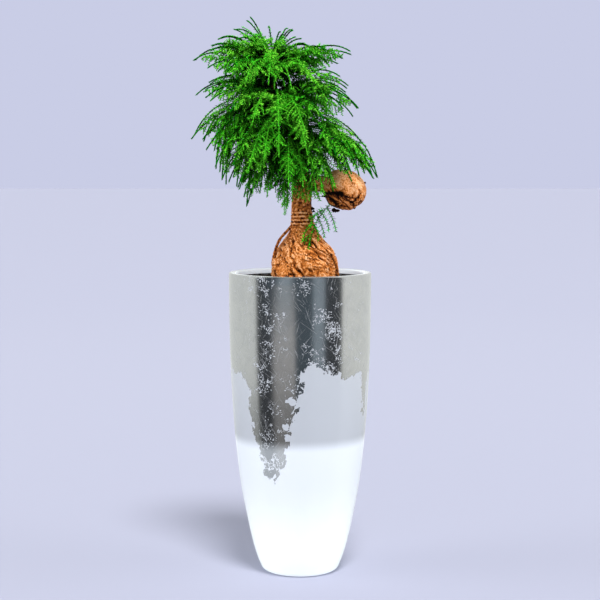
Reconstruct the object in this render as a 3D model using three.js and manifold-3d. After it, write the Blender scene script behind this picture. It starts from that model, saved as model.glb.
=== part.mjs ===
// Araucaria bonsai in a tall round planter: a swollen, twisted root base and a short trunk, a thick
// limb that ends in a rounded knob, and whorls of feathery fronds round a slim leader.
// Millimetres, +Z up, seen from the front along +Y with +X to the right.
// The origin is the centre of the planter's flat foot.

import * as THREE from 'three';
import { mergeVertices } from 'three/addons/utils/BufferGeometryUtils.js';
import Module from 'manifold-3d';

const wasm = await Module();
wasm.setup();

// Planter
const PLANTER_HEIGHT = 785;
const PLANTER_SIDES = 40;
const RIM_RADIUS = 185;
const RIM_WIDTH = 18;
const RIM_DEPTH = 13;
const RIM_EDGE = 4;
const RIM_FACE = 6;
const WALL = 8;
const FLOOR = 15;
const FOOT_RADIUS = 86;
const FOOT_EDGE = 18;
const FOOT_EDGE_END = -14;

// Height and radius of the outer wall, from just above the rounded foot to just under the rim
const WALL_OUTLINE = [
  [20, 107.5], [70, 123], [137, 138], [230, 155], [333, 167.5],
  [440, 176], [550, 181.5], [670, 184], [775, 185],
];

// Heights at which the outer wall and the hollow's wall have a ring of corners
const OUTSIDE_HEIGHTS = [50, 100, 170, 260, 370, 500, 640];
const INSIDE_HEIGHTS = [60, 130, 250, 420, 640];

// Soil: level in the middle, with an edge that slopes down to the wall
const SOIL_BELOW_RIM = 16;
const SOIL_TOP = PLANTER_HEIGHT - SOIL_BELOW_RIM;
const SOIL_LEVEL_RADIUS = 165;
const SOIL_EDGE_DROP = 7;
const SOIL_FOOT_INSET = 1.5;

// Clearance between pieces that touch or grow from each other
const FIT_GAP = 0.3;

// Trunk: height, centre x, centre y and half width, from the root end in the soil to the rounded stump top
const TRUNK = [
  [700, 14, 0, 52], [735, 14, 0, 80], [777, 13.5, 0, 86], [811, 13.5, 0, 82], [842, 15, 0, 71],
  [863, 12.5, 0, 56], [884, 10, 0, 41.5], [897, 8, 0, 34.5], [920, 6, 0, 29.5], [959, 4, 0, 26],
  [1000, 5, 0, 25.5], [1036, 3, 0, 24], [1050, 2, 0, 17],
];
const TRUNK_SIDES = 28;
const TRUNK_ROWS = [
  700, 716, 735, 752, 766, 779, 790, 801, 812, 823, 834,
  845, 856, 867, 878, 889, 900, 925, 965, 1005, 1036, 1050,
];
const RIDGE_TWIST = 0.010;
const RIDGES = [[5, 0.045, 0.4], [8, 0.028, 2.1]];
const RIDGE_FADE = 60;
const CAUDEX_TOP = 905;

// Leader: height, centre x, centre y and half width, from inside the stump to its tip
const LEADER = [
  [1030, 2, 0, 14], [1062, 0, 1, 13], [1110, -12, 4, 11], [1175, -38, 6, 9.5], [1240, -62, 4, 8.5],
  [1300, -70, 0, 6.5], [1350, -70, 0, 3.5],
];
const LEADER_SIDES = 9;
const LEADER_ROWS = [1030, 1062, 1085, 1110, 1142, 1175, 1207, 1240, 1270, 1300, 1325, 1350];

// Limb and knob: centre x, centre y, centre z and radius along the limb, which starts inside the trunk
const LIMB = [
  [0, 0, 1012, 18], [28, -1, 1014, 20], [52, -2, 1014, 21], [62, -3, 1010, 26], [68, -4, 1005, 34],
  [78, -5, 1001, 44], [94, -5, 999.5, 50.5], [114, -5, 999, 52.5], [134, -5, 998, 49.5], [152, -5, 997, 39],
  [165, -5, 996, 25], [171.5, -5, 996, 8],
];
const LIMB_SIDES = 18;

// The thin root that leaves the neck, arches clear of the caudex and dives into the soil
const STRAND = [
  [-16, -8, 912], [-33, -14, 893], [-50, -16, 874], [-61, -16, 852], [-67.5, -14, 828], [-70.5, -12, 803],
  [-58, -6, 784],
];
const STRAND_RADIUS = 3.6;
const STRAND_SIDES = 5;
const STRAND_STEPS = 10;

// Fronds. Base height on the leader, then the tip's x, y and z, the arch as a share of the reach, and the
// roll of the feather's plane about its axis in degrees.
const FRONDS = {
  apex: [
    [1338, -138, 34, 1436, 0.05, 20], [1330, -127, -42, 1438, 0.04, -20], [1345, -80, -14, 1415, 0.0, 30],
    [1341, -31, 26, 1415, 0.0, 20], [1334, -18, -34, 1405, 0.02, -10], [1327, 9, 12, 1374, 0.06, 10],
    [1321, -172, 10, 1412, 0.12, -15],
  ],
  crown: [
    [1292, -274, -44, 1327, 0.22, -35], [1304, -232, 62, 1372, 0.13, 25], [1318, -205, -26, 1385, 0.10, -25],
    [1283, -219, 118, 1309, 0.20, 30], [1300, 130, -44, 1351, 0.20, 30], [1288, 101, 62, 1326, 0.20, -25],
    [1314, 24, -70, 1361, 0.16, 25], [1296, -134, -182, 1262, 0.36, -15], [1286, -20, -190, 1246, 0.36, 15],
    [1276, -72, 188, 1292, 0.26, 0], [1310, 22, 132, 1338, 0.20, 5],
  ],
  upper: [
    [1256, -237, 66, 1273, 0.16, 25], [1247, -268, -34, 1240, 0.22, -30], [1232, -226, -118, 1222, 0.24, -25],
    [1262, -160, 160, 1244, 0.24, 20], [1262, 102, -86, 1285, 0.20, 35], [1250, 124, 26, 1260, 0.20, -30],
    [1237, 152, -36, 1206, 0.26, 35], [1222, 108, -118, 1204, 0.26, 30], [1225, 142, 84, 1188, 0.26, -30],
    [1242, -118, -202, 1158, 0.36, -15], [1236, 14, -196, 1138, 0.36, 20], [1218, -66, 206, 1164, 0.32, 0],
    [1240, 48, 170, 1186, 0.28, -10],
  ],
  middle: [
    [1206, -281, -30, 1127, 0.28, -40], [1200, -214, -112, 1057, 0.38, -20], [1212, -236, 98, 1118, 0.28, 25],
    [1190, 160, -16, 1119, 0.30, 35], [1204, 92, -156, 1082, 0.38, 25], [1180, 120, 118, 1082, 0.32, -20],
    [1212, -52, -200, 1078, 0.40, 0], [1188, -130, -176, 1040, 0.40, -20], [1168, -60, 204, 1044, 0.36, 0],
    [1174, -168, 158, 1064, 0.34, 15],
  ],
  lower: [
    [1168, -200, -52, 1026, 0.40, -35], [1160, -188, 48, 1016, 0.40, 30], [1152, -150, -120, 1018, 0.38, -20],
    [1144, -150, 96, 975, 0.40, 20], [1130, -136, -24, 961, 0.42, -35], [1122, -84, -104, 980, 0.40, -20],
    [1104, -37, -64, 933, 0.30, -30], [1150, 190, -52, 1026, 0.34, 35], [1164, 204, 34, 1027, 0.36, 25],
    [1142, 84, -134, 996, 0.40, 25], [1116, 42, -128, 984, 0.38, 10], [1108, 6, 128, 984, 0.36, 0],
    [1134, 96, 122, 1004, 0.34, -20], [1158, -28, -168, 1006, 0.40, 0],
  ],
};

// The shoot under the knob: start and tip, then its arch and roll
const SHOOT_START = [86, -6, 962];
const SHOOT_TIP = [20, -98, 842];
const SHOOT_ARCH = 0.06;
const SHOOT_ROLL = 55;
const SHOOT_BRANCHLETS = 1.2;

// Feather of one frond: a three-sided axis with pairs of branchlets between two shares of its length
const CONTROL_SHARE = 0.45;
const AXIS_SIDES = 3;
const AXIS_BARS = 12;
const PAIR_SPACING = 11;
const FEWEST_PAIRS = 4;
const FIRST_PAIR = 0.08;
const LAST_PAIR = 0.86;
const BRANCHLET_SHARE = 0.28;
const BRANCHLET_LONGEST = 54;
const BRANCHLET_SHORTEST = 22;
const BRANCHLET_ANGLE = 60;
const BRANCHLET_DROOP = 0.3;

// Shares of the frond's length over which the branchlets grow to full length, and shrink again to its end
const OPENING = [-0.05, 0.3];
const CLOSING_END = 1.02;
const CLOSING_SPAN = 0.62;
const CLOSING_POWER = 0.85;

const AXIS_RADIUS = 2.1;
const TIP_RADIUS = 1.4;
const NEEDLE_LENGTH = 6;
const NEEDLE_STEP = 8;
const FEWEST_NEEDLE_ROWS = 2;
const NEEDLE_LEAN = 0.8;
const TIP_START = 0.985;
const CLEARANCE = 1.6;
const BEND_TRIES = [0, -0.25, 0.25, -0.5, 0.5, -0.8, 0.8];
const SHORTEN_TRIES = [1, 0.8, 0.6, 0.4, 0.2];

// Corners closer than this are one, and two directions this alike are parallel
const WELD = 1e-3;
const PARALLEL = 1e-9;

const degrees = THREE.MathUtils.degToRad;
const up = new THREE.Vector3(0, 0, 1);

// Finishes
const glossWhite = new THREE.MeshStandardMaterial({ color: 0xdde2e8, roughness: 0.12, metalness: 0.0 });
const bark = new THREE.MeshStandardMaterial({ color: 0xb9794a, roughness: 0.8, metalness: 0.0 });
const potting = new THREE.MeshStandardMaterial({ color: 0x2c2019, roughness: 0.95, metalness: 0.0 });
const foliage = new THREE.MeshStandardMaterial({ color: 0x2f8f2a, roughness: 0.55, metalness: 0.0 });

// Values at a height, or at any key in the first column, on a smooth cubic through a table's rows
function follow(table, key) {
  const last = table.length - 1;
  let i = 0;
  while (i < last - 1 && key > table[i + 1][0]) i += 1;
  const [a, b] = [table[i], table[i + 1]];
  const before = table[Math.max(i - 1, 0)];
  const after = table[Math.min(i + 2, last)];
  const span = b[0] - a[0];
  const t = THREE.MathUtils.clamp((key - a[0]) / span, 0, 1);
  return a.slice(1).map((_, k) => {
    const c = k + 1;
    const slopeA = (span * (b[c] - before[c])) / (b[0] - before[0]);
    const slopeB = (span * (after[c] - a[c])) / (after[0] - a[0]);
    const rise = b[c] - a[c];
    return a[c] + t * (slopeA + t * (3 * rise - 2 * slopeA - slopeB + t * (slopeA + slopeB - 2 * rise)));
  });
}

// A closed solid from rows of a bent cylinder: place(angle, row) gives a point, and no angle the row's centre
function loft(sides, rows, place) {
  const geometry = new THREE.CylinderGeometry(1, 1, 1, sides, rows - 1);
  const position = geometry.getAttribute('position');
  for (let i = 0; i < position.count; i += 1) {
    const [x, y, z] = [position.getX(i), position.getY(i), position.getZ(i)];
    const row = Math.round((y + 0.5) * (rows - 1));
    const onAxis = Math.hypot(x, z) < 0.5;
    const point = place(onAxis ? null : Math.atan2(-z, x), row);
    position.setXYZ(i, point.x, point.y, point.z);
  }
  return geometry;
}

// A geometry's closed solid, with shared corners merged and empty triangles left out
function toSolid(geometry) {
  const bare = new THREE.BufferGeometry();
  bare.setAttribute('position', geometry.getAttribute('position'));
  bare.setIndex(geometry.getIndex());
  const welded = mergeVertices(bare, WELD);
  const corners = Array.from(welded.getIndex().array);
  const triangles = [];
  for (let i = 0; i < corners.length; i += 3) {
    const [a, b, c] = corners.slice(i, i + 3);
    if (a !== b && b !== c && c !== a) triangles.push(a, b, c);
  }
  return new wasm.Manifold(new wasm.Mesh({
    numProp: 3,
    vertProperties: Float32Array.from(welded.getAttribute('position').array),
    triVerts: Uint32Array.from(triangles),
  }));
}

function toGeometry(solid) {
  const mesh = solid.getMesh();
  const geometry = new THREE.BufferGeometry();
  const points = new Float32Array((mesh.vertProperties.length / mesh.numProp) * 3);
  for (let i = 0; i < points.length / 3; i += 1) {
    for (let k = 0; k < 3; k += 1) points[3 * i + k] = mesh.vertProperties[mesh.numProp * i + k];
  }
  geometry.setAttribute('position', new THREE.BufferAttribute(points, 3));
  geometry.setIndex(new THREE.BufferAttribute(Uint32Array.from(mesh.triVerts), 1));
  geometry.computeVertexNormals();
  return geometry;
}

// The largest separate body of a solid
function largest(solid) {
  return solid.decompose().reduce((best, piece) => (piece.volume() > best.volume() ? piece : best));
}

function turned(profile, sides) {
  const points = profile.map(([radius, height]) => new THREE.Vector2(radius, height));
  return new THREE.LatheGeometry(points, sides).rotateX(Math.PI / 2);
}

// Points on a quarter arc between two angles in degrees, round a centre given as radius and height
function arc(centreRadius, centreHeight, radius, from, to, steps) {
  return Array.from({ length: steps + 1 }, (_, i) => {
    const angle = degrees(from + ((to - from) * i) / steps);
    return [centreRadius + radius * Math.cos(angle), centreHeight + radius * Math.sin(angle)];
  });
}

function wallRadius(height) {
  return follow(WALL_OUTLINE, height)[0];
}

// Planter: flat foot, wall that swells towards the rim, a rounded lip that turns inwards, and a hollow inside
function planter() {
  const outside = OUTSIDE_HEIGHTS.map((z) => [wallRadius(z), z]);
  const inside = INSIDE_HEIGHTS.map((z) => [wallRadius(z) - WALL, z]).reverse();
  const edgeHeight = PLANTER_HEIGHT - RIM_EDGE;
  const underLip = PLANTER_HEIGHT - RIM_DEPTH;
  return turned([
    [0, 0],
    ...arc(FOOT_RADIUS, FOOT_EDGE, FOOT_EDGE, -90, FOOT_EDGE_END, 3),
    ...outside,
    ...arc(RIM_RADIUS - RIM_EDGE, edgeHeight, RIM_EDGE, 0, 90, 2),
    ...arc(RIM_RADIUS - RIM_WIDTH + RIM_EDGE, edgeHeight, RIM_EDGE, 90, 180, 1),
    [RIM_RADIUS - RIM_WIDTH, edgeHeight - RIM_FACE],
    [wallRadius(underLip) - WALL, underLip],
    ...inside,
    [FOOT_RADIUS, FLOOR],
    [0, FLOOR],
  ], PLANTER_SIDES);
}

// Surface of the trunk or leader: twisted root ridges on the caudex that fade out at the neck
function barkPoint(table, angle, z, grow) {
  const [x, y, halfWidth] = follow(table, z);
  if (angle === null) return new THREE.Vector3(x, y, z);
  const swell = THREE.MathUtils.smoothstep(CAUDEX_TOP - z, 0, RIDGE_FADE);
  const twisted = angle + RIDGE_TWIST * (z - SOIL_TOP);
  const ridge = ([count, depth, phase]) => depth * Math.sin(count * twisted + phase);
  const relief = RIDGES.reduce((sum, row) => sum + ridge(row), 0);
  const radius = halfWidth * (1 + swell * relief) + grow;
  return new THREE.Vector3(x + radius * Math.cos(angle), y + radius * Math.sin(angle), z);
}

function uprightSolid(table, sides, heights, grow) {
  const last = heights.length - 1;
  return toSolid(loft(sides, heights.length, (angle, row) => {
    const point = barkPoint(table, angle, heights[row], grow);
    if (row === 0) point.z -= grow;
    if (row === last) point.z += grow;
    return point;
  }));
}

// A closed tube along a list of stations, each with a centre and a radius
function tubeSolid(sides, stations) {
  const path = new THREE.CatmullRomCurve3(stations.map((s) => s.centre));
  const tangents = stations.map((_, i) => path.getTangent(i / (stations.length - 1)));
  return toSolid(loft(sides, stations.length, (angle, row) => {
    const { centre, radius } = stations[row];
    if (angle === null) return centre.clone();
    const across = new THREE.Vector3(0, 1, 0);
    const other = new THREE.Vector3().crossVectors(across, tangents[row]).normalize();
    across.crossVectors(tangents[row], other).normalize();
    return centre.clone()
      .addScaledVector(other, radius * Math.cos(angle))
      .addScaledVector(across, radius * Math.sin(angle));
  }));
}

function limbStations(grow) {
  return LIMB.map(([x, y, z, radius], i) => {
    const end = i === LIMB.length - 1 ? grow : 0;
    return { centre: new THREE.Vector3(x + end, y, z), radius: radius + grow };
  });
}

function strandStations(grow) {
  const path = new THREE.CatmullRomCurve3(STRAND.map((point) => new THREE.Vector3(...point)));
  return Array.from({ length: STRAND_STEPS + 1 }, (_, i) => (
    { centre: path.getPoint(i / STRAND_STEPS), radius: STRAND_RADIUS + grow }
  ));
}

// Caudex, trunk, leader, limb, knob and strand as one grown body
function woodySolid(grow) {
  return uprightSolid(TRUNK, TRUNK_SIDES, TRUNK_ROWS, grow)
    .add(uprightSolid(LEADER, LEADER_SIDES, LEADER_ROWS, grow))
    .add(tubeSolid(LIMB_SIDES, limbStations(grow)))
    .add(tubeSolid(STRAND_SIDES, strandStations(grow)));
}

// Soil that fills the planter, with a plain hole for the root end
function soilSolid(hole) {
  const gap = FIT_GAP;
  const inside = INSIDE_HEIGHTS.map((z) => [wallRadius(z) - WALL - gap, z]);
  const edge = SOIL_TOP - SOIL_EDGE_DROP;
  return toSolid(turned([
    [0, FLOOR + gap],
    [FOOT_RADIUS - SOIL_FOOT_INSET, FLOOR + gap],
    ...inside,
    [wallRadius(edge) - WALL - gap, edge],
    [SOIL_LEVEL_RADIUS, SOIL_TOP],
    [0, SOIL_TOP],
  ], PLANTER_SIDES)).subtract(hole);
}

// Round bars that the branchlets must stay clear of, each with the frond it belongs to
const bars = [];

function bar(owner, start, end, radius) {
  const middle = start.clone().lerp(end, 0.5);
  return { owner, start, end, radius, middle, reach: start.distanceTo(end) / 2 + radius };
}

// Shortest distance between two straight segments
function segmentDistance(a, b) {
  const u = b.end.clone().sub(b.start);
  const v = a.end.clone().sub(a.start);
  const w = a.start.clone().sub(b.start);
  const [uu, uv, vv, uw, vw] = [u.dot(u), u.dot(v), v.dot(v), u.dot(w), v.dot(w)];
  const clamp = (value) => THREE.MathUtils.clamp(value, 0, 1);
  const flat = uu * vv - uv * uv;
  let s = flat > PARALLEL ? clamp((uw * vv - uv * vw) / flat) : 0;
  const t = clamp((uv * s - vw) / vv);
  s = clamp((uv * t + uw) / uu);
  return w.addScaledVector(v, t).addScaledVector(u, -s).length();
}

function isClear(candidate) {
  return bars.every((other) => (
    other.owner === candidate.owner
    || candidate.middle.distanceTo(other.middle) > candidate.reach + other.reach + CLEARANCE
    || segmentDistance(candidate, other) > candidate.radius + other.radius + CLEARANCE
  ));
}

// The end itself once its bar is clear of every other frond and laid, or else nothing
function laid(owner, start, end, radius) {
  const candidate = bar(owner, start, end, radius);
  if (!isClear(candidate)) return null;
  bars.push(candidate);
  return end;
}

// The arching axis of a frond, with the frame that its branchlets follow
function frondAxis(start, tip, arch, roll, fullness = 1) {
  const reach = start.distanceTo(tip);
  const control = start.clone().lerp(tip, CONTROL_SHARE).addScaledVector(up, arch * reach);
  const curve = new THREE.QuadraticBezierCurve3(start, control, tip);
  const level = new THREE.Vector3(tip.x - start.x, tip.y - start.y, 0).normalize();
  const flatSide = new THREE.Vector3().crossVectors(level, up);
  const at = (share) => {
    const tangent = curve.getTangentAt(share);
    const lift = new THREE.Vector3().crossVectors(flatSide, tangent);
    const side = flatSide.clone()
      .multiplyScalar(Math.cos(degrees(roll)))
      .addScaledVector(lift, Math.sin(degrees(roll)));
    const over = new THREE.Vector3().crossVectors(side, tangent);
    return { centre: curve.getPointAt(share), tangent, side, lift: over };
  };
  return { at, length: curve.getLength(), fullness };
}

// Length of a branchlet at a share of the frond's length: short at the stem, longest before the middle
function branchletLength(share, length) {
  const longest = THREE.MathUtils.clamp(BRANCHLET_SHARE * length, BRANCHLET_SHORTEST, BRANCHLET_LONGEST);
  const opening = THREE.MathUtils.smoothstep(share, ...OPENING);
  const closing = THREE.MathUtils.clamp((CLOSING_END - share) / CLOSING_SPAN, 0, 1) ** CLOSING_POWER;
  return longest * opening * closing;
}

// Where the axis has a ring of corners, and what is raised between one ring and the next
function frondRings(length) {
  const rings = [{ share: 0, raise: 'none' }];
  const pairs = Math.max(FEWEST_PAIRS, Math.round(((LAST_PAIR - FIRST_PAIR) * length) / PAIR_SPACING));
  for (let i = 0; i < pairs; i += 1) {
    const share = FIRST_PAIR + ((LAST_PAIR - FIRST_PAIR) * i) / pairs;
    rings.push({ share, raise: 'pair', needle: i % 2 === 0 });
  }
  const tipStretch = (TIP_START - LAST_PAIR) * length;
  const needles = Math.max(FEWEST_NEEDLE_ROWS, Math.round(tipStretch / NEEDLE_STEP));
  for (let i = 0; i < needles; i += 1) {
    const share = LAST_PAIR + ((TIP_START - LAST_PAIR) * i) / needles;
    rings.push({ share, raise: 'needles', needle: true });
  }
  rings.push({ share: TIP_START, raise: 'none' });
  return rings;
}

// One corner of the axis's three-sided section: 0 is the ridge, 1 the right and 2 the left
function ringCorner(frame, radius, corner) {
  const angle = degrees(90 - (360 / AXIS_SIDES) * corner);
  return frame.centre.clone()
    .addScaledVector(frame.side, radius * Math.cos(angle))
    .addScaledVector(frame.lift, radius * Math.sin(angle));
}

// The tip of a branchlet on one side, bent or shortened until it is clear of every other frond
function branchletTip(owner, frame, hand, length) {
  for (const shorten of SHORTEN_TRIES) {
    for (const bend of BEND_TRIES) {
      const direction = frame.tangent.clone().multiplyScalar(Math.cos(degrees(BRANCHLET_ANGLE)))
        .addScaledVector(frame.side, hand * Math.sin(degrees(BRANCHLET_ANGLE)))
        .addScaledVector(up, -BRANCHLET_DROOP)
        .addScaledVector(frame.lift, bend)
        .normalize();
      const end = frame.centre.clone().addScaledVector(direction, length * shorten);
      if (laid(owner, frame.centre, end, AXIS_RADIUS)) return end;
    }
  }
  return null;
}

// A frond: a slim axis whose faces are raised into branchlets on both sides and into needles at the tip
function frondGeometry(owner, axis) {
  const rings = frondRings(axis.length);
  const points = [];
  const triangles = [];
  const push = (point) => points.push(point) - 1;
  const frames = rings.map(({ share }) => axis.at(share));
  rings.forEach(({ share }, i) => {
    const radius = THREE.MathUtils.lerp(AXIS_RADIUS, TIP_RADIUS, share);
    for (let corner = 0; corner < AXIS_SIDES; corner += 1) push(ringCorner(frames[i], radius, corner));
  });
  for (let i = 0; i < rings.length - 1; i += 1) {
    const middle = axis.at((rings[i].share + rings[i + 1].share) / 2);
    for (let face = 0; face < AXIS_SIDES; face += 1) {
      const [a, b] = [AXIS_SIDES * i + face, AXIS_SIDES * i + ((face + 1) % AXIS_SIDES)];
      const [c, d] = [b + AXIS_SIDES, a + AXIS_SIDES];
      let raised = null;
      if (rings[i].raise === 'pair' && face !== 1) {
        const hand = face === 0 ? 1 : -1;
        const length = axis.fullness * branchletLength(rings[i].share, axis.length);
        raised = branchletTip(owner, middle, hand, length);
      }
      if (!raised && rings[i].needle) {
        const outward = points[a].clone().add(points[b]).add(points[c]).add(points[d]).multiplyScalar(0.25)
          .sub(middle.centre).normalize();
        outward.addScaledVector(middle.tangent, NEEDLE_LEAN).setLength(NEEDLE_LENGTH).add(middle.centre);
        raised = laid(owner, middle.centre, outward, TIP_RADIUS);
      }
      if (raised) {
        const apex = push(raised);
        triangles.push(a, b, apex, b, c, apex, c, d, apex, d, a, apex);
      } else {
        triangles.push(a, b, c, a, c, d);
      }
    }
  }
  const lastRing = AXIS_SIDES * (rings.length - 1);
  const end = push(axis.at(1).centre);
  triangles.push(2, 1, 0);
  for (let corner = 0; corner < AXIS_SIDES; corner += 1) {
    triangles.push(lastRing + corner, lastRing + ((corner + 1) % AXIS_SIDES), end);
  }
  const geometry = new THREE.BufferGeometry();
  geometry.setAttribute('position', new THREE.BufferAttribute(
    Float32Array.from(points.flatMap((point) => [point.x, point.y, point.z])), 3,
  ));
  geometry.setIndex(triangles);
  return geometry;
}

const group = new THREE.Group();

function addMesh(name, geometry, material) {
  const mesh = new THREE.Mesh(geometry, material);
  mesh.name = name;
  group.add(mesh);
}

const wood = woodySolid(0);
const woodAndGap = woodySolid(FIT_GAP);
addMesh('planter', planter(), glossWhite);
addMesh('soil', toGeometry(soilSolid(uprightSolid(TRUNK, TRUNK_SIDES, TRUNK_ROWS, FIT_GAP))), potting);
addMesh('trunk', toGeometry(wood), bark);

// Wood that the branchlets stay clear of: trunk and leader, limb, and knob
const uprights = [TRUNK, LEADER].map((table) => table.map(([z, x, y, radius]) => [x, y, z, radius]));
for (const [stations, thickness] of [...uprights.map((table) => [table, Math.max]), [LIMB, Math.min]]) {
  for (let i = 0; i < stations.length - 1; i += 1) {
    const [start, end] = stations.slice(i, i + 2).map((station) => new THREE.Vector3(...station.slice(0, 3)));
    bars.push(bar('wood', start, end, thickness(stations[i][3], stations[i + 1][3])));
  }
}

// All axes are laid first, so that every branchlet knows them
const fronds = [];
for (const [whorl, rows] of Object.entries(FRONDS)) {
  rows.forEach(([height, x, y, z, arch, roll], i) => {
    const [baseX, baseY] = follow(LEADER, height);
    const start = new THREE.Vector3(baseX, baseY, height);
    const name = `frond_${whorl}_${String(i + 1).padStart(2, '0')}`;
    fronds.push({ name, axis: frondAxis(start, new THREE.Vector3(x, y, z), arch, roll) });
  });
}
const [shootStart, shootTip] = [SHOOT_START, SHOOT_TIP].map((point) => new THREE.Vector3(...point));
fronds.push({
  name: 'shoot_under_knob',
  axis: frondAxis(shootStart, shootTip, SHOOT_ARCH, SHOOT_ROLL, SHOOT_BRANCHLETS),
});
for (const { name, axis } of fronds) {
  for (let i = 1; i < AXIS_BARS; i += 1) {
    bars.push(bar(name, axis.at(i / AXIS_BARS).centre, axis.at((i + 1) / AXIS_BARS).centre, AXIS_RADIUS));
  }
}
for (const { name, axis } of fronds) {
  const grown = toSolid(frondGeometry(name, axis)).subtract(woodAndGap);
  addMesh(name, toGeometry(largest(grown)), foliage);
}

export default group;
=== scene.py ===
# %% [markdown]
# # An araucaria bonsai in its tall planter
# This lesson dresses a imported CAD part: a knobbed, swollen little conifer that stands in a tall round
# planter. The CAD solids fix every size and place. Here each of them gets the fine shape and the finish
# that the eye looks for. The frame is loaded first.

import math
import random

import bmesh
import bpy
import numpy
from mathutils import Matrix, Vector, noise


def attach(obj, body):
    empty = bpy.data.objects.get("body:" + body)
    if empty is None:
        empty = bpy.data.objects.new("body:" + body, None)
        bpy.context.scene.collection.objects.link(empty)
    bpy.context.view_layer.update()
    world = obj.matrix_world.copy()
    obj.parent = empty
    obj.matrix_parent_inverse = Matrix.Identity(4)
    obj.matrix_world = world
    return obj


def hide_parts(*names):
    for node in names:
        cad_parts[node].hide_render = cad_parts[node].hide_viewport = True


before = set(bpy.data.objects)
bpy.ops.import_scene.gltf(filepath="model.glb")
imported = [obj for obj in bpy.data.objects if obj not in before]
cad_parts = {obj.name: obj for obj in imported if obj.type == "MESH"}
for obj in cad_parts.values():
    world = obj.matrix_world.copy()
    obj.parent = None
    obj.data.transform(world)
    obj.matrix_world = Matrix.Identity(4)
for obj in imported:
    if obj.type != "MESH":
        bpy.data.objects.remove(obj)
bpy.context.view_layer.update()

# %% [markdown]
# ## Shader arithmetic
# A finish is a small sum of patterns. Its nodes could be made and linked one by one, but written as plain
# expressions they read like a sum. So a socket is wrapped in a class that knows plus, minus and times, and
# one method adds any other node.


# %% Sockets that can be added and multiplied
class Signal:
    """One output of a shader node, as a value in an expression."""

    def __init__(self, finish, socket):
        self.finish, self.socket = finish, socket

    def __add__(self, other):
        return self.finish.math("ADD", self, other)

    def __sub__(self, other):
        return self.finish.math("SUBTRACT", self, other)

    def __mul__(self, other):
        return self.finish.math("MULTIPLY", self, other)

    def __truediv__(self, other):
        return self.finish.math("DIVIDE", self, other)

    def __rsub__(self, other):
        return self.finish.math("SUBTRACT", other, self)

    __radd__ = __add__
    __rmul__ = __mul__


class Finish:
    """A material, built from one Principled shader and the patterns that feed it."""

    def __init__(self, name):
        self.material = bpy.data.materials.new(name)
        self.material.use_nodes = True
        self.tree = self.material.node_tree
        self.shader = self.tree.nodes["Principled BSDF"]
        self.place = self.add("ShaderNodeTexCoord")["Object"]

    def add(self, kind, settings=None, sockets=None):
        """Adds a node: settings first, then socket values or links. Returns its outputs by name."""
        node = self.tree.nodes.new(kind)
        for name, value in (settings or {}).items():
            if name == "stops":
                while len(node.color_ramp.elements) < len(value):
                    node.color_ramp.elements.new(1.0)
                for stop, (position, shade) in zip(node.color_ramp.elements, value):
                    stop.position, stop.color = position, color(shade)
            else:
                setattr(node, name, value)
        for name, value in (sockets or {}).items():
            self.feed(node.inputs[name], value)
        return {output.name: Signal(self, output) for output in node.outputs if output.enabled}

    def feed(self, socket, value):
        if isinstance(value, Signal):
            self.tree.links.new(value.socket, socket)
        else:
            socket.default_value = value

    def math(self, operation, *values, clamp=False):
        settings = {"operation": operation, "use_clamp": clamp}
        return self.add("ShaderNodeMath", settings, dict(enumerate(values)))["Value"]

    def split(self, vector):
        parts = self.add("ShaderNodeSeparateXYZ", None, {"Vector": vector})
        return parts["X"], parts["Y"], parts["Z"]

    def vector(self, operation, first, second):
        """Vector arithmetic. A vector is scaled by a number, and the distance of two is one."""
        other = "Scale" if operation == "SCALE" else 1
        outputs = self.add("ShaderNodeVectorMath", {"operation": operation}, {0: first, other: second})
        return outputs["Value" if operation == "DISTANCE" else "Vector"]

    def attribute(self, name):
        return self.add("ShaderNodeAttribute", {"attribute_name": name})["Fac"]

    def ramp(self, value, stops):
        return self.add("ShaderNodeValToRGB", {"stops": stops}, {"Fac": value})["Color"]

    def cloud(self, scale, detail=3.0, roughness=0.5, distortion=0.0, vector=None):
        """Soft noise between 0 and 1."""
        return self.add("ShaderNodeTexNoise", None, {
            "Vector": vector or self.place, "Scale": scale, "Detail": detail,
            "Roughness": roughness, "Distortion": distortion,
        })["Fac"]

    def step(self, value, low, high):
        """0 below low, 1 above high, smooth between."""
        sockets = {"Value": value, "From Min": low, "From Max": high}
        return self.add("ShaderNodeMapRange", {"interpolation_type": "SMOOTHSTEP"}, sockets)["Result"]

    def blend(self, factor, first, second):
        """Mixes two colours."""
        settings = {"data_type": "RGBA", "clamp_factor": True}
        return self.add("ShaderNodeMix", settings, {0: factor, 6: color(first), 7: color(second)})["Result"]

    def bump(self, height, distance, strength=1.0):
        sockets = {"Height": height, "Distance": distance, "Strength": strength}
        self.feed(self.shader.inputs["Normal"], self.add("ShaderNodeBump", None, sockets)["Normal"])

    def set(self, **inputs):
        for name, value in inputs.items():
            self.feed(self.shader.inputs[name.replace("_", " ")], color(value))
        return self.material


def color(value):
    """A colour of three numbers gets its fourth."""
    return (*value, 1.0) if isinstance(value, tuple) and len(value) == 3 else value

# %% [markdown]
# ## Helpers for shapes
# Every new piece is a bmesh that ends as one object at the origin, riding on the part's only body. The
# tables of widths are read on a smooth cubic, so a few measured rows give a round, even outline. A sleeve
# is the cone operator's tube, whose points are then moved to where a formula puts them.


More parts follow.
